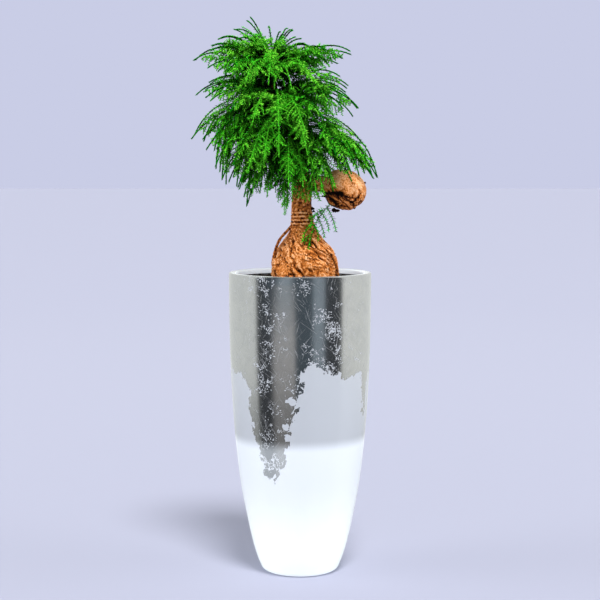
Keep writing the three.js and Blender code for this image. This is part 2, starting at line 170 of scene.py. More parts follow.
# %% Measured tables and finished pieces
def follow(table, key):
    """The other columns of a table at a value of its first column, on a smooth cubic."""
    last = len(table) - 1
    i = 0
    while i < last - 1 and key > table[i + 1][0]:
        i += 1
    a, b = table[i], table[i + 1]
    before, after = table[max(i - 1, 0)], table[min(i + 2, last)]
    span = b[0] - a[0]
    t = min(max((key - a[0]) / span, 0.0), 1.0)
    values = []
    for c in range(1, len(a)):
        slope_a = span * (b[c] - before[c]) / (b[0] - before[0])
        slope_b = span * (after[c] - a[c]) / (after[0] - a[0])
        rise = b[c] - a[c]
        bend = slope_a + slope_b - 2 * rise
        values.append(a[c] + t * (slope_a + t * (3 * rise - 2 * slope_a - slope_b + t * bend)))
    return values


def smooth(value, low, high):
    """0 below low, 1 above high, smooth between."""
    t = min(max((value - low) / (high - low), 0.0), 1.0)
    return t * t * (3 - 2 * t)


def to_object(shape, name, material):
    """Turns a bmesh into an object at the origin."""
    mesh = bpy.data.meshes.new(name)
    shape.to_mesh(mesh)
    shape.free()
    mesh.materials.append(material)
    thing = bpy.data.objects.new(name, mesh)
    bpy.context.scene.collection.objects.link(thing)
    return thing


def to_piece(shape, name, material, nodes=()):
    """Turns a bmesh into a smooth piece that rides on the part."""
    bmesh.ops.recalc_face_normals(shape, faces=shape.faces)
    piece = to_object(shape, name, material)
    piece.data.shade_smooth()
    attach(piece, "root")
    if nodes:
        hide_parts(*nodes)
    return piece


def add_to(whole, shape):
    """Joins one bmesh to another and frees it."""
    scratch = bpy.data.meshes.new("scratch")
    shape.to_mesh(scratch)
    shape.free()
    whole.from_mesh(scratch)
    bpy.data.meshes.remove(scratch)


def sleeve(sides, rows, place):
    """A closed tube whose wall follows place(angle, share); its end caps are fans."""
    shape = bmesh.new()
    bmesh.ops.create_cone(
        shape, cap_ends=True, cap_tris=True, segments=sides, radius1=1.0, radius2=1.0, depth=1.0,
    )
    tall = [e for e in shape.edges if abs(e.verts[0].co.z - e.verts[1].co.z) > 0.5]
    bmesh.ops.subdivide_edges(shape, edges=tall, cuts=rows - 1, use_grid_fill=True)
    for v in shape.verts:
        share = v.co.z + 0.5
        on_axis = math.hypot(v.co.x, v.co.y) < 0.5
        v.co = place(None if on_axis else math.atan2(v.co.y, v.co.x), share)
    return shape


cad = {}
for name in ("planter", "soil"):
    points = [v.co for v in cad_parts[name].data.vertices]
    cad[name] = [max(point[axis] for point in points) for axis in range(3)]
print("widest and highest points in the CAD:", cad)

# %% [markdown]
# ## Studio
# The planter is a mirror on its upper half, so what it shows is the room. The room could be modelled, but
# only its reflection is ever seen. So a tall wall that only reflections see stands round the whole set,
# with a light or dark stripe for each panel of the studio. It has one set of stripes for what the top of
# the planter reflects and another for the part below, and it grows dim low down. Everything else is plain:
# a pale floor, a pale room and soft lamps.

# %% Floor, room and lamps
FLOOR_SIZE, WALL_RADIUS, WALL_HEIGHT = 60.0, 7.0, 30.0
BACKDROP, ROOM_LIGHT, FLOOR_COLOR = (0.585, 0.610, 0.790), (0.56, 0.575, 0.61), (0.395, 0.405, 0.505)
PALE, BRIGHT, NIGHT = (0.80, 0.83, 0.81), (0.90, 0.92, 0.89), (0.020, 0.026, 0.032)
WARM, STEEL, DUSK = (0.47, 0.460, 0.455), (0.045, 0.070, 0.090), (0.28, 0.340, 0.39)
STRIPES = (
    (0.000, PALE), (0.288, PALE), (0.302, NIGHT), (0.366, NIGHT), (0.388, WARM), (0.474, WARM),
    (0.486, STEEL), (0.552, STEEL), (0.564, DUSK), (0.606, DUSK), (0.616, NIGHT), (0.690, NIGHT),
    (0.704, BRIGHT), (1.000, PALE),
)
BLUE_NIGHT = (0.036, 0.062, 0.086)
UPPER_STRIPES = (
    (0.000, PALE), (0.288, PALE), (0.302, NIGHT), (0.388, BLUE_NIGHT), (0.416, DUSK), (0.452, DUSK),
    (0.480, STEEL), (0.552, STEEL), (0.564, DUSK), (0.606, DUSK), (0.616, NIGHT), (0.690, NIGHT),
    (0.704, BRIGHT), (1.000, PALE),
)
CHANGE_FROM, CHANGE_TO = -0.17, 0.02
DIM_BELOW, DIM_FROM, DIMMING = -1.7, -0.7, 0.58


def sun(name, aim, strength, spread):
    """A soft lamp that shines along aim and leaves no mirror image."""
    lamp = bpy.data.lights.new(name, "SUN")
    lamp.energy, lamp.angle = strength, math.radians(spread)
    holder = bpy.data.objects.new(name, lamp)
    holder.rotation_euler = Vector(aim).to_track_quat("-Z", "Y").to_euler()
    holder.visible_glossy = False
    bpy.context.scene.collection.objects.link(holder)
    return holder


scene = bpy.context.scene
scene.view_settings.view_transform = "Standard"
ground = bmesh.new()
bmesh.ops.create_grid(ground, x_segments=1, y_segments=1, size=FLOOR_SIZE)
pale_floor = Finish("pale floor").set(Base_Color=FLOOR_COLOR, Roughness=1.0)
floor = to_object(ground, "studio_floor", pale_floor)
floor.visible_glossy = False

striped = Finish("striped wall")
across, along, up = striped.split(striped.place)
turn = striped.math("ARCTAN2", across, 0.0 - along) / (2 * math.pi) + 0.5
lower, upper = striped.ramp(turn, STRIPES), striped.ramp(turn, UPPER_STRIPES)
stripes = striped.blend(striped.step(up, CHANGE_FROM, CHANGE_TO), lower, upper)
dim = 1.0 - DIMMING * (1.0 - striped.step(up, DIM_BELOW, DIM_FROM))
dimmed = striped.vector("SCALE", stripes, dim)
striped.set(Base_Color=(0.0, 0.0, 0.0), Emission_Color=dimmed, Emission_Strength=1.0, Roughness=1.0)
ring = bmesh.new()
bmesh.ops.create_cone(
    ring, cap_ends=False, segments=96, radius1=WALL_RADIUS, radius2=WALL_RADIUS, depth=WALL_HEIGHT,
)
wall = to_object(ring, "studio_wall", striped.material)
for kind in ("camera", "diffuse", "transmission", "volume_scatter", "shadow"):
    setattr(wall, "visible_" + kind, False)

room = bpy.data.worlds.new("pale room")
room.use_nodes = True
room_nodes, room_links = room.node_tree.nodes, room.node_tree.links
tint, ray = room_nodes.new("ShaderNodeMix"), room_nodes.new("ShaderNodeLightPath")
tint.data_type = "RGBA"
tint.inputs[6].default_value, tint.inputs[7].default_value = color(ROOM_LIGHT), color(BACKDROP)
room_links.new(ray.outputs["Is Camera Ray"], tint.inputs[0])
room_links.new(tint.outputs[2], room_nodes["Background"].inputs["Color"])
scene.world = room
lamps = [
    sun("key_sun", (-0.12, 0.46, -0.95), 2.9, 16),
    sun("left_fill", (0.95, 0.16, -0.24), 1.35, 40),
    sun("right_fill", (-0.95, 0.16, -0.24), 0.95, 40),
]
print("stage:", [thing.name for thing in (floor, wall, *lamps)])

# %% [markdown]
# ## Camera
# The camera stands where the photographer's did: about four metres off, a little above the planter's rim,
# and tipped slightly down. The lens follows from how large the planter is in the picture.

# %% Camera
CAMERA_DISTANCE, CAMERA_HEIGHT, CAMERA_TIP = 3.95, 1.068, 5.15
LENS, SENSOR = 91.27, 36.0

camera_data = bpy.data.cameras.new("camera")
camera_data.lens, camera_data.sensor_width = LENS, SENSOR
camera = bpy.data.objects.new("camera", camera_data)
camera.location = (0.0, -CAMERA_DISTANCE, CAMERA_HEIGHT)
camera.rotation_euler = (math.radians(90 - CAMERA_TIP), 0.0, 0.0)
scene.collection.objects.link(camera)
scene.camera = camera
print("camera at", tuple(round(v, 3) for v in camera.location))

# %% [markdown]
# ## Planter
# The real one is turned, so one outline spun round the axis gives it. A cone with loops cut into it would
# do as well, but an outline keeps the foot, the swelling wall, the rolled lip and the hollow in one list,
# with an arc at each round place.

# %% Planter shape
RIM_RADIUS, _, PLANTER_HEIGHT = cad["planter"]
RIM_WIDTH, RIM_DEPTH, RIM_EDGE, FILLET = 0.018, 0.013, 0.004, 0.002
WALL, FLOOR_THICKNESS, FOOT_RADIUS, FOOT_EDGE = 0.008, 0.015, 0.086, 0.018
OUTSIDE_FROM, OUTSIDE_STEP, OUTSIDE_POINTS = 0.03, 0.0124, 60
INSIDE_FROM, INSIDE_STEP, INSIDE_POINTS = 0.766, 0.0355, 20
WALL_OUTLINE = (
    (0.020, 0.1075), (0.070, 0.123), (0.137, 0.138), (0.230, 0.155), (0.333, 0.1675), (0.440, 0.176),
    (0.550, 0.1815), (0.670, 0.184), (0.785, 0.185),
)


def arc(radius, height, size, start, end, steps):
    """Points of an arc about a centre, from one angle to another in degrees."""
    turns = [math.radians(start + (end - start) * i / steps) for i in range(steps + 1)]
    return [(radius + size * math.cos(t), height + size * math.sin(t)) for t in turns]


def wall_radius(height):
    return follow(WALL_OUTLINE, height)[0]


outside = [(wall_radius(z), z) for z in (OUTSIDE_FROM + OUTSIDE_STEP * i for i in range(OUTSIDE_POINTS))]
inside = [(wall_radius(z) - WALL, z) for z in (INSIDE_FROM - INSIDE_STEP * i for i in range(INSIDE_POINTS))]
lip_inside = RIM_RADIUS - RIM_WIDTH
outline = [
    (0.0, 0.0),
    *arc(FOOT_RADIUS, FOOT_EDGE, FOOT_EDGE, -90, -14, 8),
    *outside,
    *arc(RIM_RADIUS - RIM_EDGE, PLANTER_HEIGHT - RIM_EDGE, RIM_EDGE, 0, 90, 6),
    *arc(lip_inside + RIM_EDGE, PLANTER_HEIGHT - RIM_EDGE, RIM_EDGE, 90, 180, 6),
    (lip_inside, PLANTER_HEIGHT - RIM_EDGE - 1.5 * FILLET),
    *arc(lip_inside + FILLET, PLANTER_HEIGHT - RIM_DEPTH + FILLET, FILLET, 180, 270, 4),
    (lip_inside + 3 * FILLET, PLANTER_HEIGHT - RIM_DEPTH),
    *inside,
    (FOOT_RADIUS, FLOOR_THICKNESS),
    (0.0, FLOOR_THICKNESS),
]
planter_shape = bmesh.new()
corners = [planter_shape.verts.new((r, 0.0, z)) for r, z in outline]
lines = [planter_shape.edges.new(pair) for pair in zip(corners, corners[1:])]
bmesh.ops.spin(
    planter_shape, geom=corners + lines, cent=(0, 0, 0), axis=(0, 0, 1), dvec=(0, 0, 0), angle=2 * math.pi,
    steps=128, use_merge=True,
)
bmesh.ops.remove_doubles(planter_shape, verts=planter_shape.verts, dist=0.00001)
print("planter faces:", len(planter_shape.faces))

# %% [markdown]
# ## Where the silver leaf ends
# The planter's lower half is white gloss. Over its upper half lies silver leaf that was rubbed away along
# its lower edge, with one long tongue down the front. It could be painted on a picture and wrapped round.
# Here a ramp holds the height of the edge for each direction round the axis, and noise roughens it, so it
# needs no picture and stays sharp from near. The same mask later turns the gloss to metal.

# %% Edge of the leaf
LEAF_EDGE = (
    (-180, 560), (-150, 515), (-128, 590), (-108, 535), (-90, 575), (-72, 541), (-52, 525), (-46, 500),
    (-43.5, 385), (-36, 352), (-31.5, 275), (-24, 262), (-17, 290), (-12, 345), (-8, 420), (-3, 445),
    (1, 500), (4, 560), (12, 570), (14.5, 545), (24, 553), (25.5, 532), (34, 543), (43, 527), (61, 541),
    (65, 415), (70, 412), (73, 525), (110, 500), (130, 575), (158, 520), (180, 560),
)

silvered = Finish("white gloss and silver leaf")
east, north, height = silvered.split(silvered.place)
warp = silvered.cloud(16.0, 5.0, 0.6) - 0.5
ragged = silvered.cloud(60.0, 4.0, 0.65) - 0.5
sockets = {"Vector": silvered.place, "Scale": 45.0, "Detail": 3.0}
sway = silvered.add("ShaderNodeTexNoise", None, sockets)["Color"]
bent = silvered.vector("ADD", silvered.place, silvered.vector("SCALE", sway, 0.012))


def cells(scale, feature, output):
    """Cells with wavering sides, as leaf breaks: a colour for each, or the distance to the nearest side."""
    sockets = {"Vector": bent, "Scale": scale}
    return silvered.add("ShaderNodeTexVoronoi", {"feature": feature}, sockets)[output]


flakes = silvered.split(cells(62.0, "F1", "Color"))
around = silvered.math("ARCTAN2", east, 0.0 - north) / (2 * math.pi)
turn = around + 0.5 + warp * 0.030 + ragged * 0.012 + (flakes[0] - 0.5) * 0.014
edge = silvered.ramp(turn, [(degrees / 360 + 0.5, (z / 1000,) * 3) for degrees, z in LEAF_EDGE])
above = height - edge + warp * 0.05 + ragged * 0.03 + (flakes[1] - 0.5) * 0.016
print("the leaf ends between", min(z for _, z in LEAF_EDGE), "and", max(z for _, z in LEAF_EDGE), "mm")

# %% [markdown]
# ## How the leaf is worn
# Years of handling have worn the leaf. It is cracked into hairlines, chipped, scratched at a slant, and
# rubbed through in frayed patches where the white shows. Each kind of wear is one pattern, of noise or of
# cells. The cracks and chips are thickest near the edge and in the patches of a table. The table is in
# millimetres round the wall and up it, as if the wall were unrolled, because that is how one would measure
# it with a tape.

# %% Wear of the leaf
PATCHES = (
    (-97, 761, 21), (-87, 700, 15), (-89, 652, 12), (-82, 604, 20), (-76, 584, 14), (-40, 625, 13),
    (-110, 553, 20), (-98, 511, 22), (-23, 520, 20), (-38, 690, 7), (-52, 680, 7), (55, 691, 17),
    (80, 645, 22), (96, 597, 21), (101, 579, 18), (72, 560, 22), (96, 716, 10), (8, 763, 22),
    (-83, 449, 22), (-89, 372, 22), (-76, 312, 20),
)
BITES = ((-20, 470, 13), (-37, 408, 7), (38, 560, 9))
GIRTH = 2 * math.pi * WALL_OUTLINE[-2][1]
SCRATCH_LEANS, SCRATCH_RARITY = (0.70, -0.35, -0.95, 0.25, -0.62), 0.655

unrolled = silvered.add("ShaderNodeCombineXYZ", None, {"X": around * GIRTH, "Y": height})["Vector"]


def scratches(lean, rarity):
    """Straight, broken hairlines that lean from the upright, as rubbing leaves them."""
    sockets = {"Vector": unrolled, "Angle": lean}
    turned = silvered.add("ShaderNodeVectorRotate", {"rotation_type": "Z_AXIS"}, sockets)["Vector"]
    lines = silvered.cloud(1.0, 2.0, 0.5, 0.0, silvered.vector("MULTIPLY", turned, (330.0, 15.0, 1.0)))
    return silvered.step(lines, rarity, rarity + 0.035)


def spots(table, shape):
    """The strongest of several round spots, each given by its place and size on the wall in millimetres."""
    strongest = 0.0
    for x, z, size in table:
        away = silvered.vector("DISTANCE", unrolled, (x / 1000, z / 1000, 0.0))
        strongest = silvered.math("MAXIMUM", strongest, shape(away, size / 1000))
    return strongest


fray = (silvered.cloud(48.0, 3.0, 0.6) - 0.5) * 0.085
nick = (flakes[0] - 0.5) * 0.012
patches = spots(PATCHES, lambda away, size: 1.0 - silvered.step(away + fray, -0.2 * size, 2.2 * size))
bitten = spots(BITES, lambda away, size: 1.0 - silvered.step(away + nick, size, size + 0.001))
leaf = silvered.step(above, -0.0012, 0.0012) * (1.0 - bitten)
crowd = silvered.cloud(17.0, 3.0, 0.6)
near_edge = 1.0 - silvered.step(above, 0.0, 0.10)
busy = silvered.step(crowd + near_edge * 0.14, 0.48, 0.80) * 0.55 + patches * 0.62
grit = silvered.cloud(330.0, 2.0, 0.6)
seams = cells(110.0, "DISTANCE_TO_EDGE", "Distance")
cracked = silvered.step(silvered.cloud(75.0, 2.0) + busy * 0.22, 0.66, 0.74)
hairline = (1.0 - silvered.step(seams, 0.03, 0.10)) * cracked
chips = silvered.split(cells(430.0, "F1", "Color"))[0]
large_chips = silvered.split(cells(190.0, "F1", "Color"))[1]
chipped = silvered.step(chips + busy * 0.40, 1.08, 1.12)
chipped = chipped + silvered.step(large_chips + busy * 0.34 + grit * 0.16, 1.21, 1.24)
rubbed = sum(scratches(lean, SCRATCH_RARITY) for lean in SCRATCH_LEANS) * 0.26
worn = silvered.math("ADD", silvered.math("MAXIMUM", hairline * 0.8, chipped), rubbed, clamp=True)
print("kinds of wear: hairlines, chips,", len(SCRATCH_LEANS), "leans of scratches,", len(PATCHES), "patches")

# %% [markdown]
# ## Glaze, lip and metal
# The leaf stops at the outer edge of the lip, and the inner wall of the lip is white gloss again. That wall
# lies in a shade which a real room would fill with light from the other side, so it gets a faint painted
# glow of its own. The glow covers everything nearer the axis than the lip's inner edge, so the narrow lower
# outer wall and the foot glow too. The glaze is also painted lighter towards the foot, against the shade
# there. One mask then blends gloss into metal: colour, roughness and metalness all follow it.

# %% Finish of the planter
LIP_INNER, LIP_OUTER = (0.1680, 0.1710), (0.1785, 0.1830)
GLAZE_PAINTED_LIGHTER_LOW, GLAZE_HIGH, LIP_WHITE = (0.820, 0.850, 0.810), (0.547, 0.577, 0.603), (0.78, 0.83, 0.88)
SILVER_BRIGHT, SILVER_DULL, PAINTED_GLOW = (0.64, 0.64, 0.63), (0.50, 0.51, 0.52), (0.34, 0.37, 0.41)

reach = silvered.math("SQRT", east * east + north * north)
# Painted glow nearer the axis than the lip's inner edge: the lip's inner face, the lower outer wall, the
# foot.
beyond_painted_glow = silvered.step(reach, *LIP_INNER)
outer = silvered.step(reach, *LIP_OUTER)
outer = silvered.math("MAXIMUM", outer, 1.0 - silvered.step(height, 0.70, 0.71))
leaf = leaf * (1.0 - worn * 0.93) * outer
film = silvered.cloud(26.0, 4.0, 0.6, 1.2)
silver = silvered.blend(film, SILVER_BRIGHT, SILVER_DULL)
# Painted light: the glaze is lighter towards the foot, where the narrowing wall lies in shade.
glaze = silvered.blend(silvered.step(height, 0.03, 0.28), GLAZE_PAINTED_LIGHTER_LOW, GLAZE_HIGH)
white = silvered.blend(outer, LIP_WHITE, glaze)
silvered.bump(leaf * 0.5 + film * 0.25 * leaf, 0.0006, 0.35)
silvered.set(
    Base_Color=silvered.blend(leaf, white, silver), Metallic=leaf * 0.96, Specular_IOR_Level=0.5,
    Roughness=leaf * 0.08 + 0.06 + film * leaf * 0.06,
    Emission_Color=silvered.blend(beyond_painted_glow, PAINTED_GLOW, (0.0, 0.0, 0.0)), Emission_Strength=1.0,
)
planter = to_piece(planter_shape, "silvered_planter", silvered.material, ["planter"])
print("planter triangles:", 2 * len(planter.data.polygons))

# %% [markdown]
# ## Soil
# The CAD's soil stays where it is and gets a dark, crumbly finish. Loose crumbs of potting mix lie on it.
# They could be scattered as instances, but a few hundred icospheres of twenty faces each are cheap as plain
# mesh. They are pushed flat and turned at random round the caudex.

# %% Soil and crumbs
SOIL_TOP = cad["soil"][2]
SOIL_RADIUS, CAUDEX_REACH, CAUDEX_SHIFT = 0.163, 0.088, 0.0135
CRUMBS, CRUMB_SIZES = 750, (0.0016, 0.0042)

earth = Finish("potting soil")
grain = earth.cloud(180.0, 5.0, 0.7)
lump = earth.cloud(35.0, 3.0, 0.6)
earth.bump(grain * 0.6 + lump, 0.004, 0.9)
soil_color = earth.blend(earth.step(grain, 0.35, 0.7), (0.010, 0.007, 0.005), (0.060, 0.036, 0.021))
earth.set(Base_Color=soil_color, Roughness=0.95)
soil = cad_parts["soil"]
soil.data.materials.clear()
soil.data.materials.append(earth.material)

luck = random.Random(7)
crumbs = bmesh.new()
for _ in range(CRUMBS):
    angle = luck.uniform(0, 2 * math.pi)
    reach = math.sqrt(luck.uniform(CAUDEX_REACH**2, SOIL_RADIUS**2))
    size = luck.uniform(*CRUMB_SIZES)
    shift = CAUDEX_SHIFT * (1 - reach / SOIL_RADIUS)
    place = Vector((shift + reach * math.cos(angle), reach * math.sin(angle), SOIL_TOP + size * 0.3))
    flattened = Matrix.Diagonal((1.0, luck.uniform(0.6, 1.0), luck.uniform(0.45, 0.8), 1.0))
    turned = Matrix.Rotation(luck.uniform(0, 6.28), 4, "Z") @ Matrix.Rotation(luck.uniform(-0.5, 0.5), 4, "X")
    lie = Matrix.Translation(place) @ turned @ flattened
    bmesh.ops.create_icosphere(crumbs, subdivisions=1, radius=size, matrix=lie)
crumb_piece = to_piece(crumbs, "soil_crumbs", earth.material)
print("crumb triangles:", len(crumb_piece.data.polygons))

# %% [markdown]
# ## Trunk
# The caudex is a fat, twisted root base, the trunk a short wrinkled neck, and one limb ends in a rounded
# knob. They could be sculpted by hand. A formula can be read and changed later, so a closed sleeve takes
# its width from the same table as the CAD and adds relief: rope-like ridges that wind down to the right,
# fine strands between them, rings at the neck, and lumps. How deep a point lies in a furrow is kept as an
# attribute, and the bark's colour reads it: darker in furrows and folds and lighter on crests, partly as
# the bark's own colour and partly as painted shade and highlight.

# %% Trunk tables, as in the CAD
# A row of TRUNK and LEADER is a height, the centre's x and y there, and the radius.
# A row of LIMB is a centre's x, y and z, and the radius, and one of STRAND only the centre.
TRUNK = (
    (0.700, 0.014, 0.0, 0.052), (0.735, 0.014, 0.0, 0.080), (0.777, 0.0135, 0.0, 0.086),
    (0.811, 0.0135, 0.0, 0.082), (0.842, 0.015, 0.0, 0.071), (0.863, 0.0125, 0.0, 0.056),
    (0.884, 0.010, 0.0, 0.0415), (0.897, 0.008, 0.0, 0.0345), (0.920, 0.006, 0.0, 0.0295),
    (0.959, 0.004, 0.0, 0.026), (1.000, 0.005, 0.0, 0.0255), (1.036, 0.003, 0.0, 0.024),
    (1.050, 0.002, 0.0, 0.017),
)
LEADER = (
    (1.030, 0.002, 0.0, 0.014), (1.062, 0.0, 0.001, 0.013), (1.110, -0.012, 0.004, 0.011),
    (1.175, -0.038, 0.006, 0.0095), (1.240, -0.062, 0.004, 0.0085), (1.300, -0.070, 0.0, 0.0065),
    (1.350, -0.070, 0.0, 0.0035),
)
LIMB = (
    (0.000, 0.000, 1.012, 0.018), (0.028, -0.001, 1.014, 0.020), (0.052, -0.002, 1.014, 0.021),
    (0.062, -0.003, 1.010, 0.026), (0.068, -0.004, 1.005, 0.034), (0.078, -0.005, 1.001, 0.044),
    (0.094, -0.005, 0.9995, 0.0505), (0.114, -0.005, 0.999, 0.0525), (0.134, -0.005, 0.998, 0.0495),
    (0.152, -0.005, 0.997, 0.039), (0.165, -0.005, 0.996, 0.025), (0.1715, -0.005, 0.996, 0.008),
)
STRAND = (
    (-0.016, -0.008, 0.912), (-0.033, -0.014, 0.893), (-0.050, -0.016, 0.874), (-0.061, -0.016, 0.852),
    (-0.0675, -0.014, 0.828), (-0.0705, -0.012, 0.803), (-0.058, -0.006, 0.784),
)
print("rows of the tables:", len(TRUNK), len(LEADER), len(LIMB), len(STRAND))

# %% Relief of the bark
RIDGE_TWIST, CAUDEX_TOP, CAUDEX_FADE = 10.0, 0.905, 0.045
RING_SPACING, RINGS_FROM, RINGS_TO = 0.0092, 0.903, 0.950
PATCH_ANGLE, PATCH_HEIGHT, PATCH_SIZE, PATCH_RADIUS = math.radians(-132), 0.797, 0.026, 0.085


def furrow(value, width):
    """0 in the middle of a crack, which runs where the value is zero, and 1 away from it."""
    return smooth(abs(value), 0.0, width)


def caudex_relief(angle, z):
    """Height of the bark over the smooth trunk, as a share of its radius, and how open the surface lies."""
    swell = smooth(CAUDEX_TOP - z, 0.0, CAUDEX_FADE)
    round_it = Vector((math.cos(angle), math.sin(angle), z * 12))
    drift = noise.noise(round_it * 1.6) * 0.30 + noise.noise(round_it * 5) * 0.10
    twisted = angle + RIDGE_TWIST * (z - SOIL_TOP) + drift
    grain = Vector((math.cos(twisted), math.sin(twisted), z * 4.5))
    broad = 0.045 * math.sin(5 * twisted + 0.4) + 0.028 * math.sin(8 * twisted + 2.1)
    long_grain = Vector((grain.x * 4.2, grain.y * 4.2, grain.z * 2.2)) + Vector((4.2, 1.3, 0.6))
    long_crack = furrow(noise.noise(long_grain), 0.15)
    short_crack = furrow(noise.noise(grain * 10.5), 0.24)
    scales = noise.noise(grain * 24 + Vector((0, 0, 3)))
    grit = noise.noise(round_it * 30) * 0.6 + noise.noise(round_it * 62) * 0.4
    away = math.hypot(math.remainder(angle - PATCH_ANGLE, 2 * math.pi) * PATCH_RADIUS, z - PATCH_HEIGHT)
    calm = 1 - smooth(away + 0.006 * noise.noise(round_it * 6), 0.6 * PATCH_SIZE, PATCH_SIZE)
    rough = swell * (1 - calm)
    rim = swell * math.exp(-((away - 0.95 * PATCH_SIZE) / 0.003) ** 2)
    beat = 2 * math.pi * (z - RINGS_FROM) / RING_SPACING + 1.6 * noise.noise(round_it * 3)
    fold = smooth(z, RINGS_FROM, RINGS_FROM + 0.006) * (1 - smooth(z, RINGS_TO - 0.010, RINGS_TO))
    rings = math.cos(beat) * fold * (0.75 + 0.5 * noise.noise(round_it * 2.2))
    neck = (1 - swell) * noise.noise(Vector((round_it.x * 4, round_it.y * 4, z * 190)))
    long_crack, short_crack = long_crack - 0.8, short_crack - 0.75
    relief = swell * broad + rough * (0.060 * long_crack + 0.034 * short_crack + 0.022 * scales)
    relief += 0.010 * grit * (1 - 0.7 * calm) - 0.03 * rim + 0.045 * rings + 0.020 * neck
    # Painted shade and light, partly the bark's own colour: cracks, groove and ring troughs dark, ring crests
    # light.
    openness = 0.60 + rough * (0.42 * long_crack + 0.34 * short_crack + 0.25 * scales) + 0.16 * grit
    openness += 0.34 * rings - 0.20 * rim - (1 - swell) * 0.05 + 0.40 * neck
    return relief, openness


def upright(table, relief):
    """The place function of a sleeve with round sections, whose radius swells by the relief."""
    low, high = table[0][0], table[-1][0]

    def place(angle, share):
        z = low + share * (high - low)
        x, y, radius = follow(table, z)
        if angle is None:
            return Vector((x, y, z))
        radius *= 1 + relief(angle, z)
        return Vector((x + radius * math.cos(angle), y + radius * math.sin(angle), z))

    return place


def add_openness(shape, measure):
    layer = shape.verts.layers.float.new("openness")
    for v in shape.verts:
        v[layer] = measure(v.co)


def trunk_openness(point):
    x, y, _ = follow(TRUNK, point.z)
    return caudex_relief(math.atan2(point.y - y, point.x - x), point.z)[1]


trunk_place = upright(TRUNK, lambda angle, z: caudex_relief(angle, z)[0])
trunk_shape = sleeve(160, 190, trunk_place)
add_openness(trunk_shape, trunk_openness)
print("trunk faces:", len(trunk_shape.faces))

# %% [markdown]
# ## Limb and knob
# The limb leaves the neck level and ends in a swollen knob, where branches were cut back for years and
# healed over. Its sleeve lies on its side, so its rows are steps along a path and not heights. Each scar of
# the real knob has its own place, so the healed cuts follow short paths drawn on its front. The grain
# between them is noise, stretched at a slant, because there only its direction matters.

# %% Limb and knob
KNOB_RADIUS, KNOB_LEFT, KNOB_MIDDLE = 0.052, 0.112, 1.000
SCARS = (
    (0.0045, 0.0080, (0.054, 0.992), (0.068, 0.989), (0.084, 0.990), (0.100, 0.987), (0.108, 0.991)),
    (0.0030, 0.0050, (0.062, 0.980), (0.076, 0.978), (0.085, 0.971), (0.098, 0.962)),
    (0.0022, 0.0040, (0.148, 1.007), (0.151, 0.998), (0.153, 0.988), (0.147, 0.979), (0.141, 0.975)),
    (0.0016, 0.0030, (0.121, 0.971), (0.130, 0.967), (0.139, 0.964)),
    (0.0014, 0.0022, (0.102, 0.981), (0.113, 0.971), (0.118, 0.960)),
    (0.0014, 0.0020, (0.113, 0.992), (0.124, 0.986), (0.133, 0.978)),
)


def scar_depth(point):
    """Depth of the healed cuts and cracks at a point of the knob's front."""
    wander = Vector((noise.noise(point * 130), 0, noise.noise(point * 130 + Vector((7, 2, 5))))) * 0.0045
    at = Vector((point.x + wander.x, 0, point.z + wander.z))
    depth = 0.0
    for width, cut, *path in SCARS:
        for (x0, z0), (x1, z1) in zip(path, path[1:]):
            a, b = Vector((x0, 0, z0)), Vector((x1, 0, z1))
            t = min(max((at - a).dot(b - a) / (b - a).length_squared, 0.0), 1.0)
            depth = max(depth, cut * math.exp(-(((at - a.lerp(b, t)).length / width) ** 2)))
    return depth * smooth(-point.y, -0.005, 0.012)


def knob_relief(point):
    """Smooth above and to the right; cracked, striped and darker below and to the left; painted shade under
    the overhang.
    """
    rough = smooth(KNOB_MIDDLE - point.z + 0.25 * (0.115 - point.x), -0.008, 0.018)
    slant = Vector((point.x + point.z, point.y, (point.x - point.z) * 0.22))
    lumps = noise.noise(point * 32) * 0.045 + noise.noise(point * 95) * 0.016
    stripes = furrow(noise.noise(slant * 75), 0.25)
    chips = noise.noise(slant * 190 + Vector((2, 2, 2)))
    cut = scar_depth(point)
    # The hollow under the overhang at the lower left is dented and painted dark as shade.
    overhang_dent_and_shade = smooth(KNOB_LEFT - point.x, 0.0, 0.020) * smooth(KNOB_MIDDLE - point.z, 0.0, 0.014)
    relief = lumps + rough * (0.055 * (stripes - 0.8) + 0.02 * chips) - 0.05 * overhang_dent_and_shade - cut / KNOB_RADIUS
    # Painted shade and light, partly the bark's own colour: bumps are lighter than dips, cracks and cuts
    # darker.
    openness = 0.80 + 1.5 * lumps + rough * (0.60 * (stripes - 0.85) + 0.30 * chips - 0.22)
    openness += 0.10 * noise.noise(point * 300) - 0.16 * overhang_dent_and_shade - 95 * cut
    return relief, openness


limb_steps = [(i, *station) for i, station in enumerate(LIMB)]
knob_openness = {}


def rounded(point):
    return tuple(round(c, 5) for c in point)


def limb_place(angle, share):
    x, y, z, radius = follow(limb_steps, share * (len(LIMB) - 1))
    centre = Vector((x, y, z))
    if angle is None:
        return centre
    smooth_point = Vector((x, y + radius * math.cos(angle), z + radius * math.sin(angle)))
    relief, openness = knob_relief(smooth_point)
    point = smooth_point + (smooth_point - centre) * relief
    knob_openness[rounded(point)] = openness
    return point


limb_shape = sleeve(128, 110, limb_place)
add_openness(limb_shape, lambda point: knob_openness.get(rounded(point), 0.6))
print("limb faces:", len(limb_shape.faces))

# %% [markdown]
# ## Leader, aerial root, stubs and rootlets
# The slim leader goes on from the neck. One thin root arches from the neck to the soil. Its sections have
# to stay square to its path, so the path's direction is worked out at every step. Stubs of cut twigs and
# broken rootlets are small and many: icospheres roughened by noise, and cones that stand on the trunk
# wherever the random numbers put them.

# %% Leader and aerial root
STRAND_RADIUS, STRAND_AHEAD = 0.0036, 0.05
strand_steps = [(i, *point) for i, point in enumerate(STRAND)]


def leader_relief(angle, z):
    return 0.08 * noise.noise(Vector((math.cos(angle), math.sin(angle), z * 60)))


